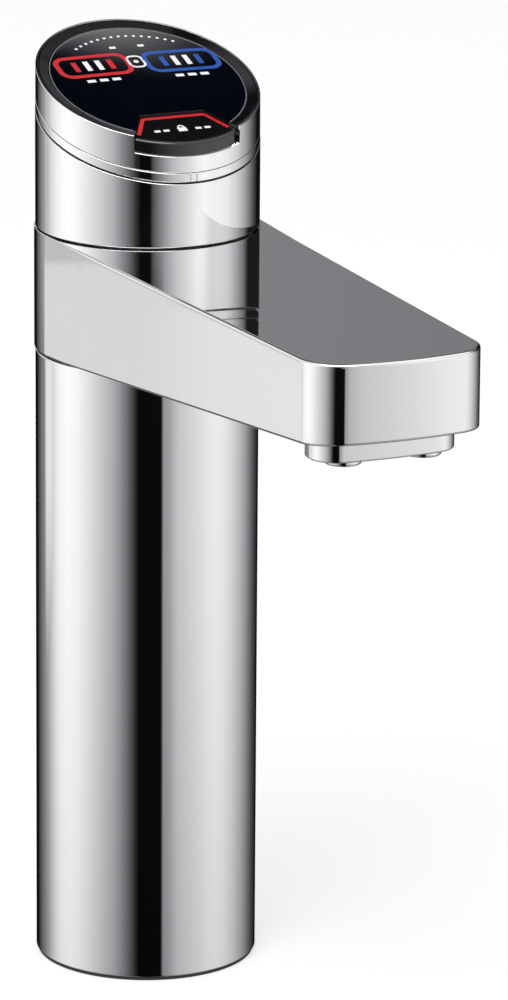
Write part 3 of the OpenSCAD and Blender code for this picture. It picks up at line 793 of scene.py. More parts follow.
@dataclass
class Column:
    """The fixed column: a thin tube with two screw holes at the back of its foot."""

    wall: float = 2.0 * MM
    edge: float = 0.3 * MM
    hole_radius: float = 2.55 * MM
    hole_angles_deg: tuple[float, ...] = (50.0, 130.0)
    drill_from: float = 0.9
    drill_to: float = 1.1
    stations: int = 216

    def build(self) -> None:
        """Makes the tube and drills its screw holes from inside the wall to outside it."""
        low, high = span("column_tube")
        outer = high[0]
        inner = outer - self.wall
        corners = [(inner, low[2]), (outer, low[2]), (outer, high[2]), (inner, high[2])]
        profile = rounded(corners, [self.edge / 3, self.edge, self.edge, self.edge / 3])
        rows = ring_rows(profile[:, 0], profile[:, 1], full_turn(self.stations))
        tube = Solid().loft(rows, Ends.JOINED).make("column_shell")
        screws_low, screws_high = span("column_set_screws")
        lift = np.array([0.0, 0.0, (screws_low[2] + screws_high[2]) / 2])
        cutters = []
        for angle in np.radians(self.hole_angles_deg):
            out = np.array([math.cos(angle), math.sin(angle), 0.0])
            start, end = out * inner * self.drill_from + lift, out * outer * self.drill_to + lift
            cutters.append(drill(start, end, self.hole_radius))
        cut(tube, cutters)
        plate(tube, Body.TAP, "column_tube")


@dataclass
class SpoutArm:
    """The swivelling arm: a band round the column that runs out into a flat, rounded tip."""

    tip_width: float = 48.0 * MM
    tip_bow: float = 3.6 * MM
    corner_radius: float = 10.8 * MM
    tip_height: float = 21.0 * MM
    rise_start: float = 6.3 * MM
    rise_blend: float = 6.0 * MM
    side_inset: float = 0.03 * MM
    hub_radius: float = 21.05 * MM
    wall: float = 3.0 * MM
    hollow_start: float = 3.0 * MM
    edge: float = 0.85 * MM
    low_edge: float = 0.7 * MM
    band_edge: float = 0.16 * MM
    edge_from: float = 8.0 * MM
    edge_to: float = 34.0 * MM
    side_steps: int = 14
    under_shares: tuple[float, float, int] = (0.0, 0.995, 18)
    wall_shares: tuple[float, ...] = (0.01, 0.5, 0.99)
    top_shares: tuple[float, ...] = (0.005, 0.4, 1.0)
    cutter_depth: float = 5.0 * MM

    def __post_init__(self) -> None:
        """Takes the arm's place and its outer sizes from the frame."""
        low, high = span("spout_arm")
        self.band_radius = high[0]
        self.bottom, self.top = low[2], high[2]
        self.reach = -low[1]
        half = self.tip_width / 2
        self.side_radius = self.band_radius - self.side_inset
        tip = self.reach - self.tip_bow
        self.taper = math.asin(self.side_radius / math.hypot(half, tip)) - math.atan2(half, tip)
        self.bow_radius = bow_radius(half, self.tip_bow)
        self.bow_centre = np.array([0.0, self.bow_radius - self.reach])
        self.slope = (self.top - self.bottom - self.tip_height) / (tip - self.rise_start)

    def corner(self) -> Array:
        """Finds the right corner arc, which is tangent to the side and to the bowed front.

        Its centre lies on the line that runs along the side, a corner radius inside it, where the
        distance to the front arc's centre is the difference of the two radii.

        Returns:
            The arc's centre.
        """
        out = np.array([math.cos(self.taper), -math.sin(self.taper)])
        along = np.array([-math.sin(self.taper), -math.cos(self.taper)])
        start = out * (self.side_radius - self.corner_radius)
        gap = start - self.bow_centre
        here = gap @ along
        far = (self.bow_radius - self.corner_radius) ** 2
        return start + along * (math.sqrt(here**2 - gap @ gap + far) - here)

    def tip_arcs(self, inset: float = 0.0) -> list[Arc]:
        """Gives the tip's outline.

        Args:
            inset: how far it is moved inwards.

        Returns:
            The left corner, the bowed front and the right corner.
        """
        corner = self.corner()
        taper = math.degrees(self.taper)
        turn = math.degrees(math.asin(corner[0] / (self.bow_radius - self.corner_radius)))
        r = self.corner_radius - inset
        bow = self.bow_radius - inset
        return [
            Arc((-corner[0], corner[1]), r, 180 + taper, 270 - turn, 26),
            Arc(tuple(self.bow_centre), bow, 270 - turn, 270 + turn, 28),
            Arc((corner[0], corner[1]), r, 270 + turn, 360 - taper, 26),
        ]

    def under(self, y: Array) -> Array:
        """Height of the underside: level, a short parabola, then a straight rise to the tip.

        With t the way past the rise's start and b the blend, the rise is (t + b) squared / (4 b)
        from -b to b, and t past that.

        Args:
            y: places along the arm.

        Returns:
            A height for each.
        """
        t = -y - self.rise_start
        blend = self.rise_blend
        rise = np.where(t < -blend, 0.0, np.where(t > blend, t, (t + blend) ** 2 / (4 * blend)))
        return self.bottom + self.slope * rise

    def build(self) -> None:
        """Makes the casting: bore, underside, lower edge, wall, upper edge and top, in one belt of rows.

        The upper edge is fine round the band and grows to its full radius along the arm.
        """
        taper = math.degrees(self.taper)
        arcs = [Arc((0.0, 0.0), self.side_radius, -taper, 180 + taper, 112), *self.tip_arcs()]
        outline = Outline.through(arcs, self.side_steps)
        outer = outline.points()
        bore = outer * (self.hub_radius / np.linalg.norm(outer, axis=1))[:, None]
        upper = self.band_edge + (self.edge - self.band_edge) * ease(
            (-outer[:, 1] - self.edge_from) / (self.edge_to - self.edge_from))
        rows = []
        under_edge = outline.points(self.low_edge)
        for share in np.linspace(*self.under_shares):
            plan = bore + (under_edge - bore) * share
            rows.append(at_height(plan, self.under(plan[:, 1])))
        for turn in quarter_turn(10):
            plan = outline.points(self.low_edge * (1 - math.sin(turn)))
            rows.append(at_height(plan, self.under(outer[:, 1]) + self.low_edge * (1 - math.cos(turn))))
        low_wall, high_wall = self.under(outer[:, 1]) + self.low_edge, self.top - upper
        for share in self.wall_shares:
            rows.append(at_height(outer, low_wall + (high_wall - low_wall) * share))
        for turn in quarter_turn(10):
            plan = outline.points(upper * (1 - math.cos(turn)))
            rows.append(at_height(plan, self.top - upper * (1 - math.sin(turn))))
        top_edge = outline.points(upper)
        for share in self.top_shares:
            rows.append(at_height(top_edge + (bore - top_edge) * share, self.top))
        arm = Solid().loft(np.stack(rows), Ends.JOINED).make("arm_casting")
        cut(arm, [self.hollow()])
        plate(arm, Body.SPOUT, "spout_arm")

    def hollow(self) -> bpy.types.Object:
        """Makes the cutter of the hollow under the arm.

        Its plan is the tip's outline moved inwards by the wall, without the points of the line that
        would close it, and then a straight line across the arm in front of the band.

        Returns:
            The cutter.
        """
        line_steps = 1
        closing_points = line_steps + 2
        start = -(self.band_radius + self.hollow_start)
        tip = Outline.through(self.tip_arcs(self.wall), line_steps).points()[:-closing_points]
        side = np.array([math.cos(self.taper), -math.sin(self.taper)])
        x = (self.side_radius - self.wall - side[1] * start) / side[0]
        plan = np.vstack([[-x, start], tip, [x, start]])
        rows = [at_height(plan, z) for z in (self.bottom - self.cutter_depth, self.top - self.wall)]
        return Solid().loft(np.stack(rows)).make("hollow")


@dataclass
class Outlets:
    """The outlet block under the tip, with its two nozzles."""

    corner_radius: float = 7.0 * MM
    bow: float = 1.5 * MM
    edge: float = 0.5 * MM
    wall: float = 1.4 * MM
    wall_start: float = 1.1
    seat_gap: float = 0.05 * MM
    recess_radius: float = 3.4 * MM
    recess_depth: float = 3.0 * MM
    cutter_depth: float = 1.0 * MM
    nozzle_edge: float = 0.6 * MM
    nozzle_top_edge: float = 0.1 * MM

    def outline(self, low: Array, high: Array) -> Outline:
        """Gives the block's plan: a rounded rectangle with a bowed front.

        Args:
            low: the block's lowest corner.
            high: its highest corner.

        Returns:
            The plan.
        """
        half, r = high[0], self.corner_radius
        bow = bow_radius(half, self.bow)
        bow_centre = low[1] + bow
        front = bow_centre - math.sqrt((bow - r) ** 2 - (half - r) ** 2)
        turn = math.degrees(math.asin((half - r) / (bow - r)))
        back = high[1] - r
        return Outline.through([
            Arc((half - r, back), r, 0, 90),
            Arc((r - half, back), r, 90, 180),
            Arc((r - half, front), r, 180, 270 - turn),
            Arc((0.0, bow_centre), bow, 270 - turn, 270 + turn, 16),
            Arc((half - r, front), r, 270 + turn, 360),
        ])

    def build(self) -> None:
        """Makes the nozzles, and the block up to the underplate's top, with its seats and screw recess."""
        low, high = span("outlet_block")
        top = span("arm_underplate")[1][2]
        bottom, foot = low[2], low[2] - self.cutter_depth
        outline = self.outline(low, high)
        rows = []
        for turn in quarter_turn(9):
            plan = outline.points(self.edge * (1 - math.sin(turn)))
            rows.append(at_height(plan, bottom + self.edge * (1 - math.cos(turn))))
        for height in (bottom + self.edge * self.wall_start, top):
            rows.append(at_height(outline.points(), height))
        block = Solid().loft(np.stack(rows)).make("block_shell")
        cutters = []
        for node in ("boiling_nozzle", "chilled_nozzle"):
            nozzle_low, nozzle_high = span(node)
            x, y, _ = (nozzle_low + nozzle_high) / 2
            radius = (nozzle_high[0] - nozzle_low[0]) / 2
            seat_top = nozzle_high[2] + self.seat_gap
            cutters.append(drill((x, y, foot), (x, y, seat_top), radius + self.seat_gap))
            self.nozzle(node, (x, y), radius, nozzle_low[2], nozzle_high[2])
        screw_low, screw_high = span("block_screw")
        x, y, _ = (screw_low + screw_high) / 2
        cutters.append(drill((x, y, foot), (x, y, bottom + self.recess_depth), self.recess_radius))
        cut(block, cutters)
        plate(block, Body.SPOUT, "outlet_block")

    def nozzle(self, node: str, middle: tuple[float, float], radius: float, bottom: float,
               top: float) -> None:
        """Makes one nozzle: a short tube with a rounded mouth.

        Args:
            node: the CAD node that it stands for.
            middle: the place of its axis.
            radius: the nozzle's outer radius.
            bottom: the height of its mouth.
            top: the height of its upper end.
        """
        bore = radius - self.wall
        corners = [(bore, bottom), (radius, bottom), (radius, top), (bore, top)]
        top_edge = self.nozzle_top_edge
        profile = rounded(corners, [self.nozzle_edge / 2, self.nozzle_edge, top_edge, top_edge], 8)
        rows = ring_rows(profile[:, 0], profile[:, 1], full_turn(72)) + [*middle, 0.0]
        plate(Solid().loft(rows, Ends.JOINED).make(node + "_shell"), Body.SPOUT, node)


@dataclass
class Panel:
    """What the tilted pieces share: the tilt, the key's notch at the front and the disc's thickness."""

    tilt_deg: float = 19.4
    notch_half_deg: float = 30.5
    key_back: float = 15.9 * MM
    key_gap: float = 0.15 * MM
    disc_thickness: float = 1.3 * MM

    @property
    def slope(self) -> float:
        """Rise of the panel for each metre towards the back."""
        return math.tan(math.radians(self.tilt_deg))

    @property
    def notch(self) -> float:
        """Half of the notch's angle, in radians."""
        return math.radians(self.notch_half_deg)

    def top_of(self, node: str) -> float:
        """Returns the height on the axis of a tilted node's upper face."""
        high = span(node)[1]
        return high[2] - high[0] * self.slope

    def bottom_of(self, node: str) -> float:
        """Returns the height on the axis of a tilted node's lower face."""
        low, high = span(node)
        return low[2] + high[0] * self.slope

    def stations(self, around: int, side: float) -> Array:
        """Angles round the axis, close together beside the notch's two sides.

        Args:
            around: how many even stations there are.
            side: the width of the change at each side of the notch, in radians.

        Returns:
            The angles, from -pi to pi.
        """
        clearance = 1.2
        even = np.linspace(-math.pi, math.pi, around, endpoint=False)
        close = self.notch + np.linspace(-side, side, 13)
        clear = np.abs(np.abs(even) - self.notch) > side * clearance
        return np.sort(np.concatenate([even[clear], close, -close]))


@dataclass
class Head:
    """The head above the arm: shell, trim ring and cap ring, cut off at the panel's tilt."""

    panel: Panel
    wall: float = 3.0 * MM
    floor: float = 3.5 * MM
    neck_radius: float = 10.05 * MM
    screw_radius: float = 2.15 * MM
    screw_circle: float = 15.0 * MM
    screw_angles_deg: tuple[float, ...] = (90.0, 210.0, 330.0)
    edge: float = 0.16 * MM
    rim_edge: float = 0.192 * MM
    collar_gap: float = 0.1 * MM
    bezel_gap: float = 0.05 * MM
    ledge_depth: float = 2.1 * MM
    notch_depth: float = 4.5 * MM
    notch_lip: float = 0.85 * MM
    notch_side: float = 0.16 * MM
    notch_ledge_depth: float = 2.3 * MM
    mark_places: tuple[float, float] = (-0.9 * MM, 0.9 * MM)
    mark_width: float = 0.4 * MM
    mark_depth: float = 0.18 * MM
    mark_floor: float = 0.2
    mark_slope: float = 0.5
    stations: int = 216

    def build(self) -> None:
        """Makes the three pieces."""
        self.shell()
        self.trim()
        self.cap()

    def shell(self) -> None:
        """Makes the shell. Its profile is level round its floor, and tilts with the panel above that."""
        low, high = span("head_shell")
        outer, bottom = high[0], low[2]
        inner = outer - self.wall
        top = self.panel.top_of("head_shell")
        floor = bottom + self.floor
        corners = [(self.neck_radius, bottom), (outer, bottom), (outer, top), (inner, top), (inner, floor),
                   (self.neck_radius, floor)]
        fine = self.edge / 3
        profile = rounded(corners, [fine, self.edge, self.edge, fine, fine, fine])
        slope = self.panel.slope * (profile[:, 1] > (floor + top) / 2)
        rows = ring_rows(profile[:, 0], profile[:, 1], full_turn(self.stations), slope)
        shell = Solid().loft(rows, Ends.JOINED).make("head_case")
        cutters = []
        for angle in np.radians(self.screw_angles_deg):
            x, y = self.screw_circle * math.cos(angle), self.screw_circle * math.sin(angle)
            cutters.append(drill((x, y, bottom - MM), (x, y, floor + MM), self.screw_radius))
        cut(shell, cutters)
        plate(shell, Body.TAP, "head_shell")

    def trim(self) -> None:
        """Makes the trim ring, with two fine locating nicks at the front.

        A nick's depth is depth * (1 - ease((gap - floor) / slope)), with gap the way round the ring
        from its middle, and it fades out through the wall.
        """
        clearance = 1.05
        outer = span("trim_ring")[1][0]
        bottom, top = self.panel.bottom_of("trim_ring"), self.panel.top_of("trim_ring")
        inner = outer - self.wall + self.collar_gap
        profile = rounded([(inner, bottom), (outer, bottom), (outer, top), (inner, top)],
                          [self.edge / 3, self.edge, self.edge, self.edge / 3])
        even = np.linspace(-math.pi, math.pi, self.stations, endpoint=False)
        fine = np.linspace(-1.0, 1.0, 13) * self.mark_width
        close = np.concatenate([mark + fine for mark in self.mark_places]) / outer
        theta = np.sort(np.concatenate([even[np.abs(even) > close[-1] * clearance], close]))
        gap = np.min([np.abs(theta * outer - mark) for mark in self.mark_places], 0)
        dent = 1 - ease((gap - self.mark_width * self.mark_floor) / (self.mark_width * self.mark_slope))
        sunk = self.mark_depth * dent[:, None] * ease((profile[:, 0] - inner) / (outer - inner))
        rows = ring_rows(profile[:, 0] - sunk, profile[:, 1], theta, self.panel.slope)
        plate(Solid().loft(rows, Ends.JOINED).make("trim_band"), Body.TAP, "trim_ring")

    def cap(self) -> None:
        """Makes the cap ring. Its profile drops to a low, thin lip between the notch's two sides.

        The profile is high * (1 - share) + low * share, where the share steps smoothly from 0 to 1
        across each side of the notch.
        """
        outer = span("cap_ring")[1][0]
        bottom, top = self.panel.bottom_of("cap_ring"), self.panel.top_of("cap_ring")
        inner = outer - self.wall + self.collar_gap
        fine = self.edge / 3

        def profile(height: float, lip: float, ledge: float, rim_edge: float) -> Array:
            """Gives the ring's profile.

            Args:
                height: the height of its rim.
                lip: the radius of the rim's inner edge.
                ledge: the height of the ledge inside the rim.
                rim_edge: the rounding of the rim's outer edge.

            Returns:
                The profile's points.
            """
            corners = [(inner, bottom), (outer, bottom), (outer, height), (lip, height), (lip, ledge),
                       (inner, ledge)]
            return rounded(corners, [fine, self.edge, rim_edge, fine, fine, fine])

        seat = span("bezel_ring")[1][0] + self.bezel_gap
        ledge = self.panel.top_of("touch_disc") - self.ledge_depth
        high_line = profile(top, seat, ledge, self.rim_edge)
        low_top = top - self.notch_depth
        low_line = profile(low_top, outer - self.notch_lip, low_top - self.notch_ledge_depth, self.edge)
        side = self.notch_side / outer
        theta = self.panel.stations(self.stations, side)
        share = ease((self.panel.notch + side - np.abs(theta)) / (2 * side))[:, None, None]
        line = high_line * (1 - share) + low_line * share
        rows = ring_rows(line[..., 0], line[..., 1], theta, self.panel.slope)
        plate(Solid().loft(rows, Ends.JOINED).make("cap_band"), Body.TAP, "cap_ring")


@dataclass
class TouchPanel:
    """The black bezel, the touch disc, the print on it and a painted highlight along the disc's edge.

    The print's places are pairs of millimetres from the disc's middle, across it and up its slope.
    """

    panel: Panel
    bezel_flat: float = 0.5 * MM
    bezel_low: float = 0.62 * MM
    bezel_gap: float = 0.1 * MM
    edge: float = 0.12 * MM
    edge_drop: float = 0.05 * MM
    gloss_from: float = 0.3 * MM
    dome: float = 0.3 * MM
    centre_share: float = 0.02
    print_height: float = 0.03 * MM
    # Place and width of the grey edge line, which is a painted highlight.
    line_inset: float = 0.28 * MM
    line_width: float = 0.24 * MM
    line_end_rad: float = 0.03

    hot_centre: tuple[float, float] = (-11.8, 9.6)
    cold_centre: tuple[float, float] = (13.4, 8.8)
    frame_size: tuple[float, float] = (20.0, 9.6)
    frame_corner: float = 3.0
    stroke: float = 1.5
    stripe_pitch: float = 3.4
    stripe_half: float = 2.4
    dash_pitch: float = 3.6
    dash_half: float = 1.2
    dash_drop: float = 7.6
    dash_stroke: float = 1.3
    ring_centre: tuple[float, float] = (0.6, 9.8)
    ring_size: tuple[float, float] = (4.2, 5.6)
    ring_stroke: float = 0.7
    ring_corner: float = 1.6
    ring_dot: float = 1.5
    high_dashes: tuple[float, float] = (-3.0, 5.2)
    high_place: float = 17.8
    high_half: float = 0.9
    high_stroke: float = 1.1
    arc_centre: tuple[float, float] = (1.0, -0.6)
    arc_radius: float = 24.0
    arc_dots: tuple[float, float, int] = (54.0, 126.0, 15)
    arc_dot: float = 0.9

    def build(self) -> None:
        """Makes the pieces."""
        self.bezel()
        self.disc()
        self.marks()

    def bezel(self) -> None:
        """Makes the bezel: a ring that slopes down to the disc and stops at the notch."""
        outer, top = span("bezel_ring")[1][0], self.panel.top_of("bezel_ring")
        inner = span("touch_disc")[1][0] + self.bezel_gap
        bottom = self.panel.top_of("touch_disc") - self.panel.disc_thickness
        corners = [(inner, bottom), (outer, bottom), (outer, top), (outer - self.bezel_flat, top),
                   (inner, top - self.bezel_low)]
        profile = rounded(corners, [self.edge, self.edge, self.edge, self.edge * 3, self.edge])
        end = self.panel.notch
        theta = np.linspace(end, 2 * math.pi - end, 220)
        rows = ring_rows(profile[:, 0], profile[:, 1], theta, self.panel.slope)
        ring = Solid().loft(rows).make("bezel_frame")
        even_normals(ring)
        place(ring, Body.TAP, KEY_GLOSS, "black_gloss", "bezel_ring")

    def disc(self) -> None:
        """Makes the disc: rows from the middle of its back, round its edge, to the middle of its face.

        The edge's radius is the disc's own, and between the notch's sides it is the distance to a
        straight line behind the key: back / cos(theta). The face rises to the middle as a shallow
        dome, by dome * (1 - (r / radius) squared).
        """
        radius = span("touch_disc")[1][0]
        top = self.panel.top_of("touch_disc")
        bottom = top - self.panel.disc_thickness
        theta = self.panel.stations(240, self.edge_drop / radius)
        back = self.panel.key_back - self.panel.key_gap
        rim = np.where(np.abs(theta) < self.panel.notch, back / np.cos(theta), radius)
        rows = []

        def add(reach: Array, height: float, rise: float) -> None:
            """Adds a row at a distance from the axis, lifted by the dome's rise there."""
            lift = height + rise * (1 - (reach / radius) ** 2)
            rows.append(ring_rows(reach[:, None], lift[:, None], theta, self.panel.slope)[:, 0])

        for share in (self.centre_share, 0.5, 0.99):
            add(rim * share, bottom, 0.0)
        add(rim, bottom + self.edge, 0.0)
        add(rim, top - self.edge - self.edge_drop, 0.0)
        for turn in quarter_turn(6):
            add(rim - self.edge * (1 - math.cos(turn)), top - self.edge * (1 - math.sin(turn)), 0.0)
        for share in np.linspace(0.99, self.centre_share, 20):
            add(rim * share, top, self.dome)
        disc = Solid().loft(np.stack(rows)).make("touch_glass")
        place(disc, Body.TAP, GLOSS, "black_gloss", "touch_disc")
        darken_walls(disc, radius - self.gloss_from)

    def strip(self, solid: Solid, path: Array, width: float, closed: bool = False) -> None:
        """Adds a printed line along a path on the disc.

        The line is flat on top, and its edges go down into the disc's face.

        Args:
            solid: the solid that takes it.
            path: points across the disc and up its slope, in metres.
            width: the line's width.
            closed: whether the path is a ring.
        """
        flat = across(path, (-1.0, -0.92, -0.4, 0.4, 0.92, 1.0), width, closed)
        lift = np.array([-0.5, 1.0, 1.0, 1.0, 1.0, -0.5]) * self.print_height
        solid.loft(self.on_disc(flat, lift), Ends.JOINED if closed else Ends.CAPPED)

    def on_disc(self, flat: Array, lift: Array | float) -> Array:
        """Puts flat points on the disc's face, which tilts and has a shallow dome.

        Args:
            flat: points across the disc and up its slope, in metres.
            lift: their height above the face.

        Returns:
            The points in the frame.
        """
        radius = span("touch_disc")[1][0]
        top = self.panel.top_of("touch_disc")
        x = flat[..., 0]
        y = flat[..., 1] * math.cos(math.radians(self.panel.tilt_deg))
        dome = self.dome * (1 - (x**2 + y**2) / radius**2)
        return np.stack([x, y, top + self.panel.slope * y + dome + lift], -1)

    def bar(self, solid: Solid, start: tuple[float, float], end: tuple[float, float], width: float) -> None:
        """Adds a straight printed bar.

        Args:
            solid: the solid that takes it.
            start: the place of one end.
            end: the place of the other end.
            width: its width, in millimetres.
        """
        share = np.linspace(0, 1, 9)[:, None]
        a, b = np.array(start) * MM, np.array(end) * MM
        self.strip(solid, a + (b - a) * share, width * MM)

    def loop(self, solid: Solid, middle: tuple[float, float], size: tuple[float, float], width: float,
             corner: float) -> None:
        """Adds a printed rounded frame.

        Args:
            solid: the solid that takes it.
            middle: the place of its middle.
            size: its width and height, in millimetres.
            width: the line's width, in millimetres.
            corner: its corner radius, in millimetres.
        """
        half_w, half_h = size[0] / 2, size[1] / 2
        corners = [(-half_w, -half_h), (half_w, -half_h), (half_w, half_h), (-half_w, half_h)]
        path = rounded([(x * MM, y * MM) for x, y in corners], [corner * MM] * 4, 8)
        self.strip(solid, path + np.array(middle) * MM, width * MM, closed=True)

    def dot(self, solid: Solid, middle: tuple[float, float], size: float) -> None:
        """Adds a printed dot.

        Args:
            solid: the solid that takes it.
            middle: the place of its middle.
            size: its diameter, in millimetres.
        """
        turn = full_turn(24)
        circle = np.column_stack([np.cos(turn), np.sin(turn)]) * size / 2 * MM
        rows = []
        for share, lift in ((1.0, -0.5), (0.95, 1.0), (0.3, 1.0)):
            flat = circle * share + np.array(middle) * MM
            rows.append(self.on_disc(flat, lift * self.print_height))
        solid.loft(np.stack(rows))

    def dash(self, solid: Solid, x: float, y: float, half: float, width: float) -> None:
        """Adds a level printed bar round a place, half to each side."""
        self.bar(solid, (x - half, y), (x + half, y), width)

    def touch_area(self, solid: Solid, white: Solid, centre: tuple[float, float]) -> None:
        """Adds a framed touch area: four stripes, the inner two white, and three white dashes below.

        Args:
            solid: the solid of its colour.
            white: the solid of the white marks.
            centre: the place of its middle.
        """
        x, y = centre
        self.loop(solid, centre, self.frame_size, self.stroke, self.frame_corner)
        for step in (-1.5, -0.5, 0.5, 1.5):
            stripe = x + step * self.stripe_pitch
            ends = (stripe, y - self.stripe_half), (stripe, y + self.stripe_half)
            self.bar(solid if abs(step) > 1 else white, *ends, self.stroke)
        for step in (-1, 0, 1):
            dash = x + step * self.dash_pitch
            self.dash(white, dash, y - self.dash_drop, self.dash_half, self.dash_stroke)

    def marks(self) -> None:
        """Prints two framed touch areas, a ring between them, dashes and an arc of dots, and paints a
        highlight line along the disc's edge.
        """
        red, blue, white = Solid(), Solid(), Solid()
        self.touch_area(red, white, self.hot_centre)
        self.touch_area(blue, white, self.cold_centre)
        self.loop(white, self.ring_centre, self.ring_size, self.ring_stroke, self.ring_corner)
        self.dot(white, self.ring_centre, self.ring_dot)
        for x in self.high_dashes:
            self.dash(white, x, self.high_place, self.high_half, self.high_stroke)
        x, y = self.arc_centre
        for angle in np.radians(np.linspace(*self.arc_dots)):
            spot = (x + self.arc_radius * math.cos(angle), y + self.arc_radius * math.sin(angle))
            self.dot(white, spot, self.arc_dot)
        # The grey edge line is a painted highlight along the disc's edge.
        prints = (("hot_print", red, RED), ("cold_print", blue, BLUE), ("white_print", white, WHITE),
                  ("edge_highlight_line", self.edge_highlight_line(), EDGE_HIGHLIGHT))
        for name, solid, finish in prints:
            place(solid.make(name), Body.TAP, finish, "red_line" if finish is RED else "black_gloss")

    def edge_highlight_line(self) -> Solid:
        """Makes the painted highlight of the disc's edge: a fine grey line that follows the edge from one
        side of the notch to the other.

        Returns:
            The solid of the line.
        """
        radius = span("touch_disc")[1][0] - self.line_inset
        end = self.panel.notch + self.line_end_rad
        turn = np.linspace(end, 2 * math.pi - end, 180)
        rise = math.cos(math.radians(self.panel.tilt_deg))
        line = Solid()
        self.strip(line, radius * np.column_stack([np.sin(turn), -np.cos(turn) / rise]), self.line_width)
        return line


@dataclass
class SafetyKey:
    """The sprung key in the notch, its red outline and its padlock mark."""

    panel: Panel
    wall: float = 1.6 * MM
    front_edge: float = 0.8 * MM
    edge: float = 0.15 * MM
    plate: float = 1.4 * MM
    line_width: float = 1.1 * MM
    line_inset: float = 0.1 * MM
    line_end: float = 2.1 * MM
    line_height: float = 0.04 * MM
    line_bend: float = 0.9 * MM
    sink: float = 0.03 * MM
    gloss_from: float = 1.2 * MM

    mark_place: float = -22.6 * MM
    lock_half: float = 1.25 * MM
    lock_height: float = 1.7 * MM
    arch_half: float = 0.85 * MM
    arch_start: float = 0.8 * MM
    arch_rise: float = 0.95 * MM
    arch_stroke: float = 0.42 * MM
    dash_places: tuple[float, ...] = (-7.2 * MM, -4.6 * MM, 4.6 * MM, 7.2 * MM)
    dash_half: float = 0.85 * MM
    dash_stroke: float = 0.9 * MM

    def __post_init__(self) -> None:
        """Takes the key's place from the frame."""
        low = span("safety_key")[0]
        self.radius = -low[1]
        self.top = span("key_outline")[1][2] + (self.panel.key_back + self.line_inset) * self.panel.slope
        self.bottom = low[2] + self.radius * self.panel.slope

    def build(self) -> None:
        """Makes the pieces."""
        self.key()
        self.outline()
        self.padlock()

    def key(self) -> None:
        """Makes the key: an L profile carried between the notch's sides.

        At a distance r the key turns up to notch - asin(gap / r) to each side, so its flanks run
        parallel to the notch's. Its back edge lies at back / cos(theta). The first and the last
        profile are a little smaller, which breaks the edges of the flanks.
        """
        slope = self.panel.slope
        top = self.top - self.sink
        flank_share, flank_shrink = 0.995, self.edge * 0.6
        share = np.concatenate([[-1], np.linspace(-flank_share, flank_share, 61), [1]])
        widest = self.panel.notch - np.arcsin(self.panel.key_gap / self.radius)
        inner, under = self.radius - self.wall, top - self.plate
        rows = []
        for s in share:
            shrink = flank_shrink if abs(s) == 1 else 0.0
            back = self.panel.key_back / math.cos(s * widest) + shrink
            front = self.radius - shrink
            corners = [(back, top - shrink), (front, top - shrink), (front, self.bottom),
                       (inner, self.bottom), (inner, under), (back, under)]
            profile = rounded(corners, [self.edge, self.front_edge, *[self.edge] * 4])
            limit = self.panel.notch - np.arcsin(self.panel.key_gap / profile[:, 0])
            theta = s * limit
            y = -profile[:, 0] * np.cos(theta)
            rows.append(np.column_stack([profile[:, 0] * np.sin(theta), y, profile[:, 1] + slope * y]))
        key = Solid().loft(np.stack(rows)).make("key_cap")
        even_normals(key)
        place(key, Body.KEY, KEY_GLOSS, "black_gloss", "safety_key")
        darken_walls(key, self.radius - self.gloss_from)

    def lay(self, solid: Solid, path: Array, width: float) -> None:
        """Adds a raised line with bevelled sides, whose foot goes down into the key's face.

        Args:
            solid: the solid that takes it.
            path: the points of its middle, as x and y.
            width: its width.
        """
        flat = across(path, (-1.0, -1.0, -0.9, 0.9, 1.0, 1.0), width)
        lift = np.array([-3.0, 0.5, 1.0, 1.0, 0.5, -3.0]) * self.line_height
        z = self.top - self.sink + self.panel.slope * flat[..., 1] + lift
        solid.loft(np.concatenate([flat, z[..., None]], -1))

    def outline(self) -> None:
        """Makes the red line: two legs along the flanks and a bar behind, with rounded bends.

        The bends are two corners of a closed outline, of which only their points are kept.
        """
        inset = self.panel.key_gap + self.line_inset + self.line_width / 2
        back = self.panel.key_back + self.line_inset + self.line_width / 2
        notch = self.panel.notch
        bend = np.array([(back - inset / math.sin(notch)) * math.tan(notch), -back])
        leg = np.array([math.sin(notch), -math.cos(notch)])
        reach = self.radius - self.line_end - float(np.linalg.norm(bend))
        foot = bend + leg * reach
        corners = [(-foot[0], foot[1]), (-bend[0], bend[1]), (bend[0], bend[1]), (foot[0], foot[1]),
                   (0.0, foot[1] * 3)]
        whole = rounded(corners, [0.0, self.line_bend, self.line_bend, 0.0, 0.0])
        each = len(whole) // len(corners)
        path = np.vstack([[corners[0]], whole[each : 3 * each], [corners[3]]])
        solid = Solid()
        self.lay(solid, path, self.line_width)
        place(solid.make("key_line"), Body.KEY, RED, "red_line", "key_outline")

    def padlock(self) -> None:
        """Prints a small padlock between two pairs of dashes, where the key is pressed."""
        solid = Solid()
        y = self.mark_place
        turn = np.linspace(0, math.pi, 13)
        self.lay(solid, np.array([[-self.lock_half, y], [self.lock_half, y]]), self.lock_height)
        arch_y = y + self.arch_start + self.arch_rise * np.sin(turn)
        self.lay(solid, np.column_stack([self.arch_half * np.cos(turn), arch_y]), self.arch_stroke)
        for x in self.dash_places:
            self.lay(solid, np.array([[x - self.dash_half, y], [x + self.dash_half, y]]), self.dash_stroke)
        place(solid.make("key_mark"), Body.KEY, WHITE, "black_gloss")


@dataclass(frozen=True)
class Softbox:
    """A light panel that the polished metal mirrors, in degrees of azimuth and elevation.

    Each four angles are where its light starts, is full, begins to fall and ends.
    """

    azimuth: tuple[float, float, float, float]
    elevation: tuple[float, float, float, float]
    level: float


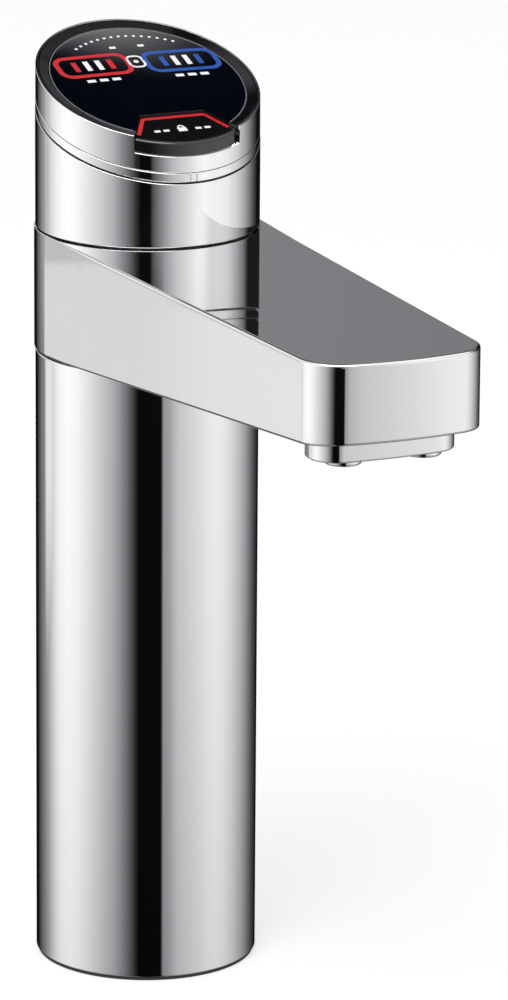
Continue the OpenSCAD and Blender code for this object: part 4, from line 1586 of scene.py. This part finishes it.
@dataclass
class Studio:
    """Camera, floor, lamp and the plain surroundings that the metal mirrors.

    Azimuths are degrees from the front (-Y) towards +X and elevations are degrees above the level.
    The sweeps are pairs of azimuth and brightness: one that the column and the arm mirror, one for
    the head, and one that only faces that look upwards mirror.
    """

    camera_place: tuple[float, float, float] = (-0.6949, -1.5748, 0.6046)
    yaw_deg: float = -24.774
    pitch_deg: float = 15.506
    roll_deg: float = 0.4075
    focal_px: float = 6611.4
    frame_height_px: float = 1000.0
    sensor: float = 36.0
    clip: tuple[float, float] = (0.05, 50.0)
    floor_size: float = 14.0
    floor_drop: float = 0.02 * MM
    floor_tone: float = 0.97
    floor_glow: float = 0.55
    ambient: float = 0.86
    lamp_watts: float = 22.0
    lamp_size: float = 1.4
    lamp_place: tuple[float, float, float] = (-0.9, -1.0, 1.7)
    lamp_turn_deg: tuple[float, float, float] = (38.0, 0.0, -42.0)

    sweep: tuple[tuple[float, float], ...] = (
        (-180, 0.005), (-170, 0.1), (-157, 0.24), (-147, 0.41), (-139, 0.64), (-132, 0.82), (-125, 0.93),
        (-113, 0.985), (-101, 0.93), (-91, 0.815), (-72, 0.58), (-59, 0.41), (-51, 0.27), (-42, 0.11),
        (-37, 0.035), (-33, 0.003), (-8.6, 0.003), (-7.6, 0.28), (-1, 0.35), (4, 0.46), (9, 0.565),
        (20, 0.64), (34, 0.74), (43, 0.815), (52, 0.845), (61, 0.82), (70, 0.73), (83, 0.555), (99, 0.325),
        (109, 0.18), (121, 0.065), (138, 0.005),
    )
    head_sweep: tuple[tuple[float, float], ...] = (
        (-180, 0.005), (-170, 0.12), (-157, 0.31), (-147, 0.52), (-139, 0.74), (-131, 0.88), (-123, 0.97),
        (-113, 1.01), (-101, 0.95), (-91, 0.83), (-72, 0.6), (-59, 0.43), (-50, 0.25), (-41, 0.11),
        (-36, 0.035), (-31, 0.003), (-21, 0.003), (-18, 0.08), (-11, 0.2), (2, 0.46), (19, 0.7), (29, 0.86),
        (37, 0.945), (46, 0.87), (56, 0.88), (67, 0.81), (80, 0.63), (94, 0.37), (104, 0.2), (113, 0.08),
        (126, 0.005),
    )
    behind: tuple[tuple[float, float], ...] = (
        (-180, 0.14), (-177, 0.16), (-172, 0.6), (-168, 0.85), (-160, 0.8), (-140, 0.76), (-118, 0.98),
        (0, 0.5), (100, 0.01), (145, 0.012), (152, 0.17), (157, 0.22), (163, 0.28), (168, 0.8), (173, 0.9),
        (177, 0.16), (180, 0.14),
    )
    cards: tuple[Softbox, ...] = (
        Softbox((-155.4, -153.8, -142.0, -126.0), (-18.5, -15.0, -13.5, -13.3), 0.67),
        Softbox((-154.8, -150.6, -142.0, -126.0), (-18.5, -15.0, -13.9, -13.5), 0.76),
        Softbox((-153.8, -153.0, -151.0, -150.0), (-13.7, -13.4, -10.0, -8.5), 0.5),
        Softbox((-168.0, -162.0, -126.0, -112.0), (-11.0, -9.0, 70.0, 80.0), 0.69),
        Softbox((-132.0, -115.0, 84.0, 98.0), (21.0, 28.0, 91.0, 92.0), 1.0),
        Softbox((144.0, 147.5, 154.0, 158.0), (36.0, 38.5, 43.6, 46.2), 0.78),
        Softbox((150.0, 168.0, 181.0, 182.0), (46.0, 56.0, 91.0, 92.0), 0.3),
        Softbox((-182.0, -181.0, -150.0, -132.0), (46.0, 56.0, 91.0, 92.0), 0.3),
        Softbox((90.0, 100.0, 151.0, 156.0), (19.0, 26.0, 40.0, 43.5), 0.14),
        Softbox((90.0, 100.0, 138.0, 141.5), (40.0, 43.5, 70.0, 75.0), 0.14),
        Softbox((-92.0, -84.0, 14.0, 24.0), (46.0, 50.0, 62.0, 66.0), 5.5),
    )
    ramp_top: float = 1.3
    front: tuple[float, float, float, float] = (-122.0, -110.0, 90.0, 104.0)
    rear_from: tuple[float, float] = (-9.0, 4.0)
    rear_until: tuple[float, float] = (24.0, 30.0)
    head_from: tuple[float, float] = (-14.4, -13.3)
    lean: float = 0.25
    lean_below: float = 14.5
    low_from: tuple[float, float] = (-27.0, -14.0)
    low_gain: float = 0.45
    upper_from: tuple[float, float] = (-3.0, 3.0)
    upper_gain: float = 0.13
    falls: tuple[tuple[float, float, float], ...] = ((27.0, 46.0, 0.3), (62.0, 95.0, 0.35))
    plate_gain: float = 1.13
    cool: float = 0.07
    cool_green: float = 0.3

    def build(self) -> None:
        """Makes camera, world, lamp and floor."""
        self.camera()
        self.world()
        self.lamp()
        self.floor()

    def camera(self) -> None:
        """Puts the camera where the photograph's view was found."""
        yaw, pitch, roll = (math.radians(a) for a in (self.yaw_deg, self.pitch_deg, self.roll_deg))
        level_ahead = np.array([-math.sin(yaw), math.cos(yaw), 0.0])
        ahead = level_ahead * math.cos(pitch) - np.array([0.0, 0.0, math.sin(pitch)])
        right = np.array([math.cos(yaw), math.sin(yaw), 0.0])
        up = np.cross(right, ahead)
        turned_right = math.cos(roll) * right + math.sin(roll) * up
        turned_up = -math.sin(roll) * right + math.cos(roll) * up
        data = bpy.data.cameras.new("camera")
        data.sensor_width = self.sensor
        data.lens = self.focal_px * self.sensor / self.frame_height_px
        data.clip_start, data.clip_end = self.clip
        made = bpy.data.objects.new("camera", data)
        turn = Matrix(np.column_stack([turned_right, turned_up, -ahead]).tolist()).to_4x4()
        made.matrix_world = Matrix.Translation(self.camera_place) @ turn
        bpy.context.scene.collection.objects.link(made)
        bpy.context.scene.camera = made

    def world(self) -> None:
        """Makes the surroundings: white to the camera, plain to matt surfaces, a light sweep to metal."""
        world = bpy.data.worlds.new("studio")
        bpy.context.scene.world = world
        world.use_nodes = True
        world.cycles.sampling_method = "NONE"
        graph = Graph(world.node_tree)
        way = graph.node("ShaderNodeTexCoord", {}, {}, "Generated")
        split = graph.node("ShaderNodeSeparateXYZ", {}, {"Vector": way})
        x, y, z = (split.output(k) for k in range(3))
        tone = self.mirrored(graph, x.atan2(-y) * DEGREES, z.asin() * DEGREES)
        cool = (1 + self.cool) - tone.least(1.0) * self.cool
        green = (1 - self.cool_green) + cool * self.cool_green
        tinted = graph.node("ShaderNodeCombineColor", {}, {0: tone, 1: tone * green, 2: tone * cool})
        ray = graph.node("ShaderNodeLightPath", {}, {}, "Is Glossy Ray")
        plain = graph.node("ShaderNodeBackground", {}, {"Color": (1, 1, 1, 1), "Strength": self.ambient})
        white = graph.node("ShaderNodeBackground", {}, {"Color": (1, 1, 1, 1), "Strength": 1.0})
        sweep = graph.node("ShaderNodeBackground", {}, {"Color": tinted, "Strength": 1.0})
        first = graph.node("ShaderNodeMixShader", {}, {0: ray, 1: plain, 2: sweep})
        mixed = graph.node("ShaderNodeMixShader", {}, {0: ray.output("Is Camera Ray"), 1: first, 2: white})
        graph.node("ShaderNodeOutputWorld", {}, {"Surface": mixed})

    def mirrored(self, graph: Graph, azimuth: Value, elevation: Value) -> Value:
        """Gives the brightness that metal mirrors from each direction.

        Low down the column's sweep stands, and its bands lean. Towards the horizon, up or down, the
        head's takes its place. Both are dimmer far from the horizon, and above it they are a little
        brighter but fall off to the right. Above the horizon and away from the front the rear sweep
        stands instead, up to about 30 degrees. Each light panel shows where it is brighter than that.
        The gain makes up for the light that the plate's own tone takes.

        Args:
            graph: the world's graph.
            azimuth: the direction's azimuth in degrees.
            elevation: its elevation in degrees.

        Returns:
            The brightness.
        """
        tilt = (elevation + self.lean_below).least(0.0) * self.lean
        column = self.ramp(graph, azimuth + tilt, self.sweep)
        head, behind = (self.ramp(graph, azimuth, stops) for stops in (self.head_sweep, self.behind))
        depth = -elevation.most(-elevation)
        at_head = depth.step(*self.head_from)
        low = self.low_gain + depth.step(*self.low_from) * (1 - self.low_gain)
        sweep = (column * (1 - at_head) + head * at_head) * low
        fall = sum(azimuth.step(start, end) * share for start, end, share in self.falls)
        sweep = sweep * (1 + elevation.step(*self.upper_from) * (self.upper_gain - fall))
        rear = elevation.step(*self.rear_from) * (1 - azimuth.inside(*self.front))
        tone = sweep * (1 - rear) + behind * rear * (1 - elevation.step(*self.rear_until))
        for card in self.cards:
            lit = azimuth.inside(*card.azimuth) * elevation.inside(*card.elevation)
            tone = tone.most(lit * card.level)
        return tone * self.plate_gain

    def ramp(self, graph: Graph, azimuth: Value, stops: Sequence[tuple[float, float]]) -> Value:
        """Gives the brightness of a sweep all round.

        Args:
            graph: the world's graph.
            azimuth: the direction's azimuth in degrees.
            stops: pairs of azimuth and brightness.

        Returns:
            The brightness, which a ramp holds as a share of its top.
        """
        filled = [(angle / 360 + 0.5, (level / self.ramp_top,) * 3) for angle, level in stops]
        share = graph.node("ShaderNodeValToRGB", {"stops": filled}, {"Fac": azimuth / 360 + 0.5})
        return share * self.ramp_top

    def lamp(self) -> None:
        """Adds one large soft lamp from the upper left, which only lights matt surfaces and the floor."""
        data = bpy.data.lights.new("soft_lamp", "AREA")
        data.shape = "DISK"
        data.size = self.lamp_size
        data.energy = self.lamp_watts
        made = bpy.data.objects.new("soft_lamp", data)
        made.location = self.lamp_place
        made.rotation_euler = [math.radians(angle) for angle in self.lamp_turn_deg]
        made.visible_glossy = False
        bpy.context.scene.collection.objects.link(made)

    def floor(self) -> None:
        """Makes a pale floor that takes the shadow and isn't mirrored by the metal."""
        half = self.floor_size / 2
        mesh = bpy.data.meshes.new("floor")
        corners = [(-half, -half, 0), (half, -half, 0), (half, half, 0), (-half, half, 0)]
        mesh.from_pydata(corners, [], [[0, 1, 2, 3]])
        made = bpy.data.objects.new("floor", mesh)
        made.location.z = -self.floor_drop
        material = bpy.data.materials.new("pale_floor")
        material.use_nodes = True
        graph = Graph(material.node_tree)
        tone = self.floor_tone
        matt = graph.node("ShaderNodeBsdfDiffuse", {}, {"Color": (tone, tone, tone, 1)})
        clear = graph.node("ShaderNodeBsdfTransparent", {}, {})
        glow = graph.node("ShaderNodeEmission", {}, {"Color": (1, 1, 1, 1)})
        ray = graph.node("ShaderNodeLightPath", {}, {}, "Is Glossy Ray")
        seen = ray.output("Is Camera Ray")
        lit = graph.node("ShaderNodeMixShader", {}, {0: seen * self.floor_glow, 1: matt, 2: glow})
        mixed = graph.node("ShaderNodeMixShader", {}, {0: ray, 1: lit, 2: clear})
        graph.node("ShaderNodeOutputMaterial", {}, {"Surface": mixed})
        mesh.materials.append(material)
        bpy.context.scene.collection.objects.link(made)


def dress_nodes(nodes: dict[str, bpy.types.Object]) -> None:
    """Gives every CAD node that stays its finish.

    Args:
        nodes: the CAD nodes' objects by name.
    """
    for name, finish in NODE_FINISHES.items():
        nodes[name].data.materials.clear()
        nodes[name].data.materials.append(finish.material())


def main() -> None:
    """Builds the tap's looks round the frame."""
    logging.basicConfig(level=logging.INFO, format="%(message)s")
    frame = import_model()
    bpy.context.scene.view_settings.view_transform = "Standard"
    panel = Panel()
    Column().build()
    SpoutArm().build()
    Outlets().build()
    Head(panel).build()
    TouchPanel(panel).build()
    SafetyKey(panel).build()
    dress_nodes(frame["nodes"])
    Studio().build()


if __name__ == "__main__":
    main()
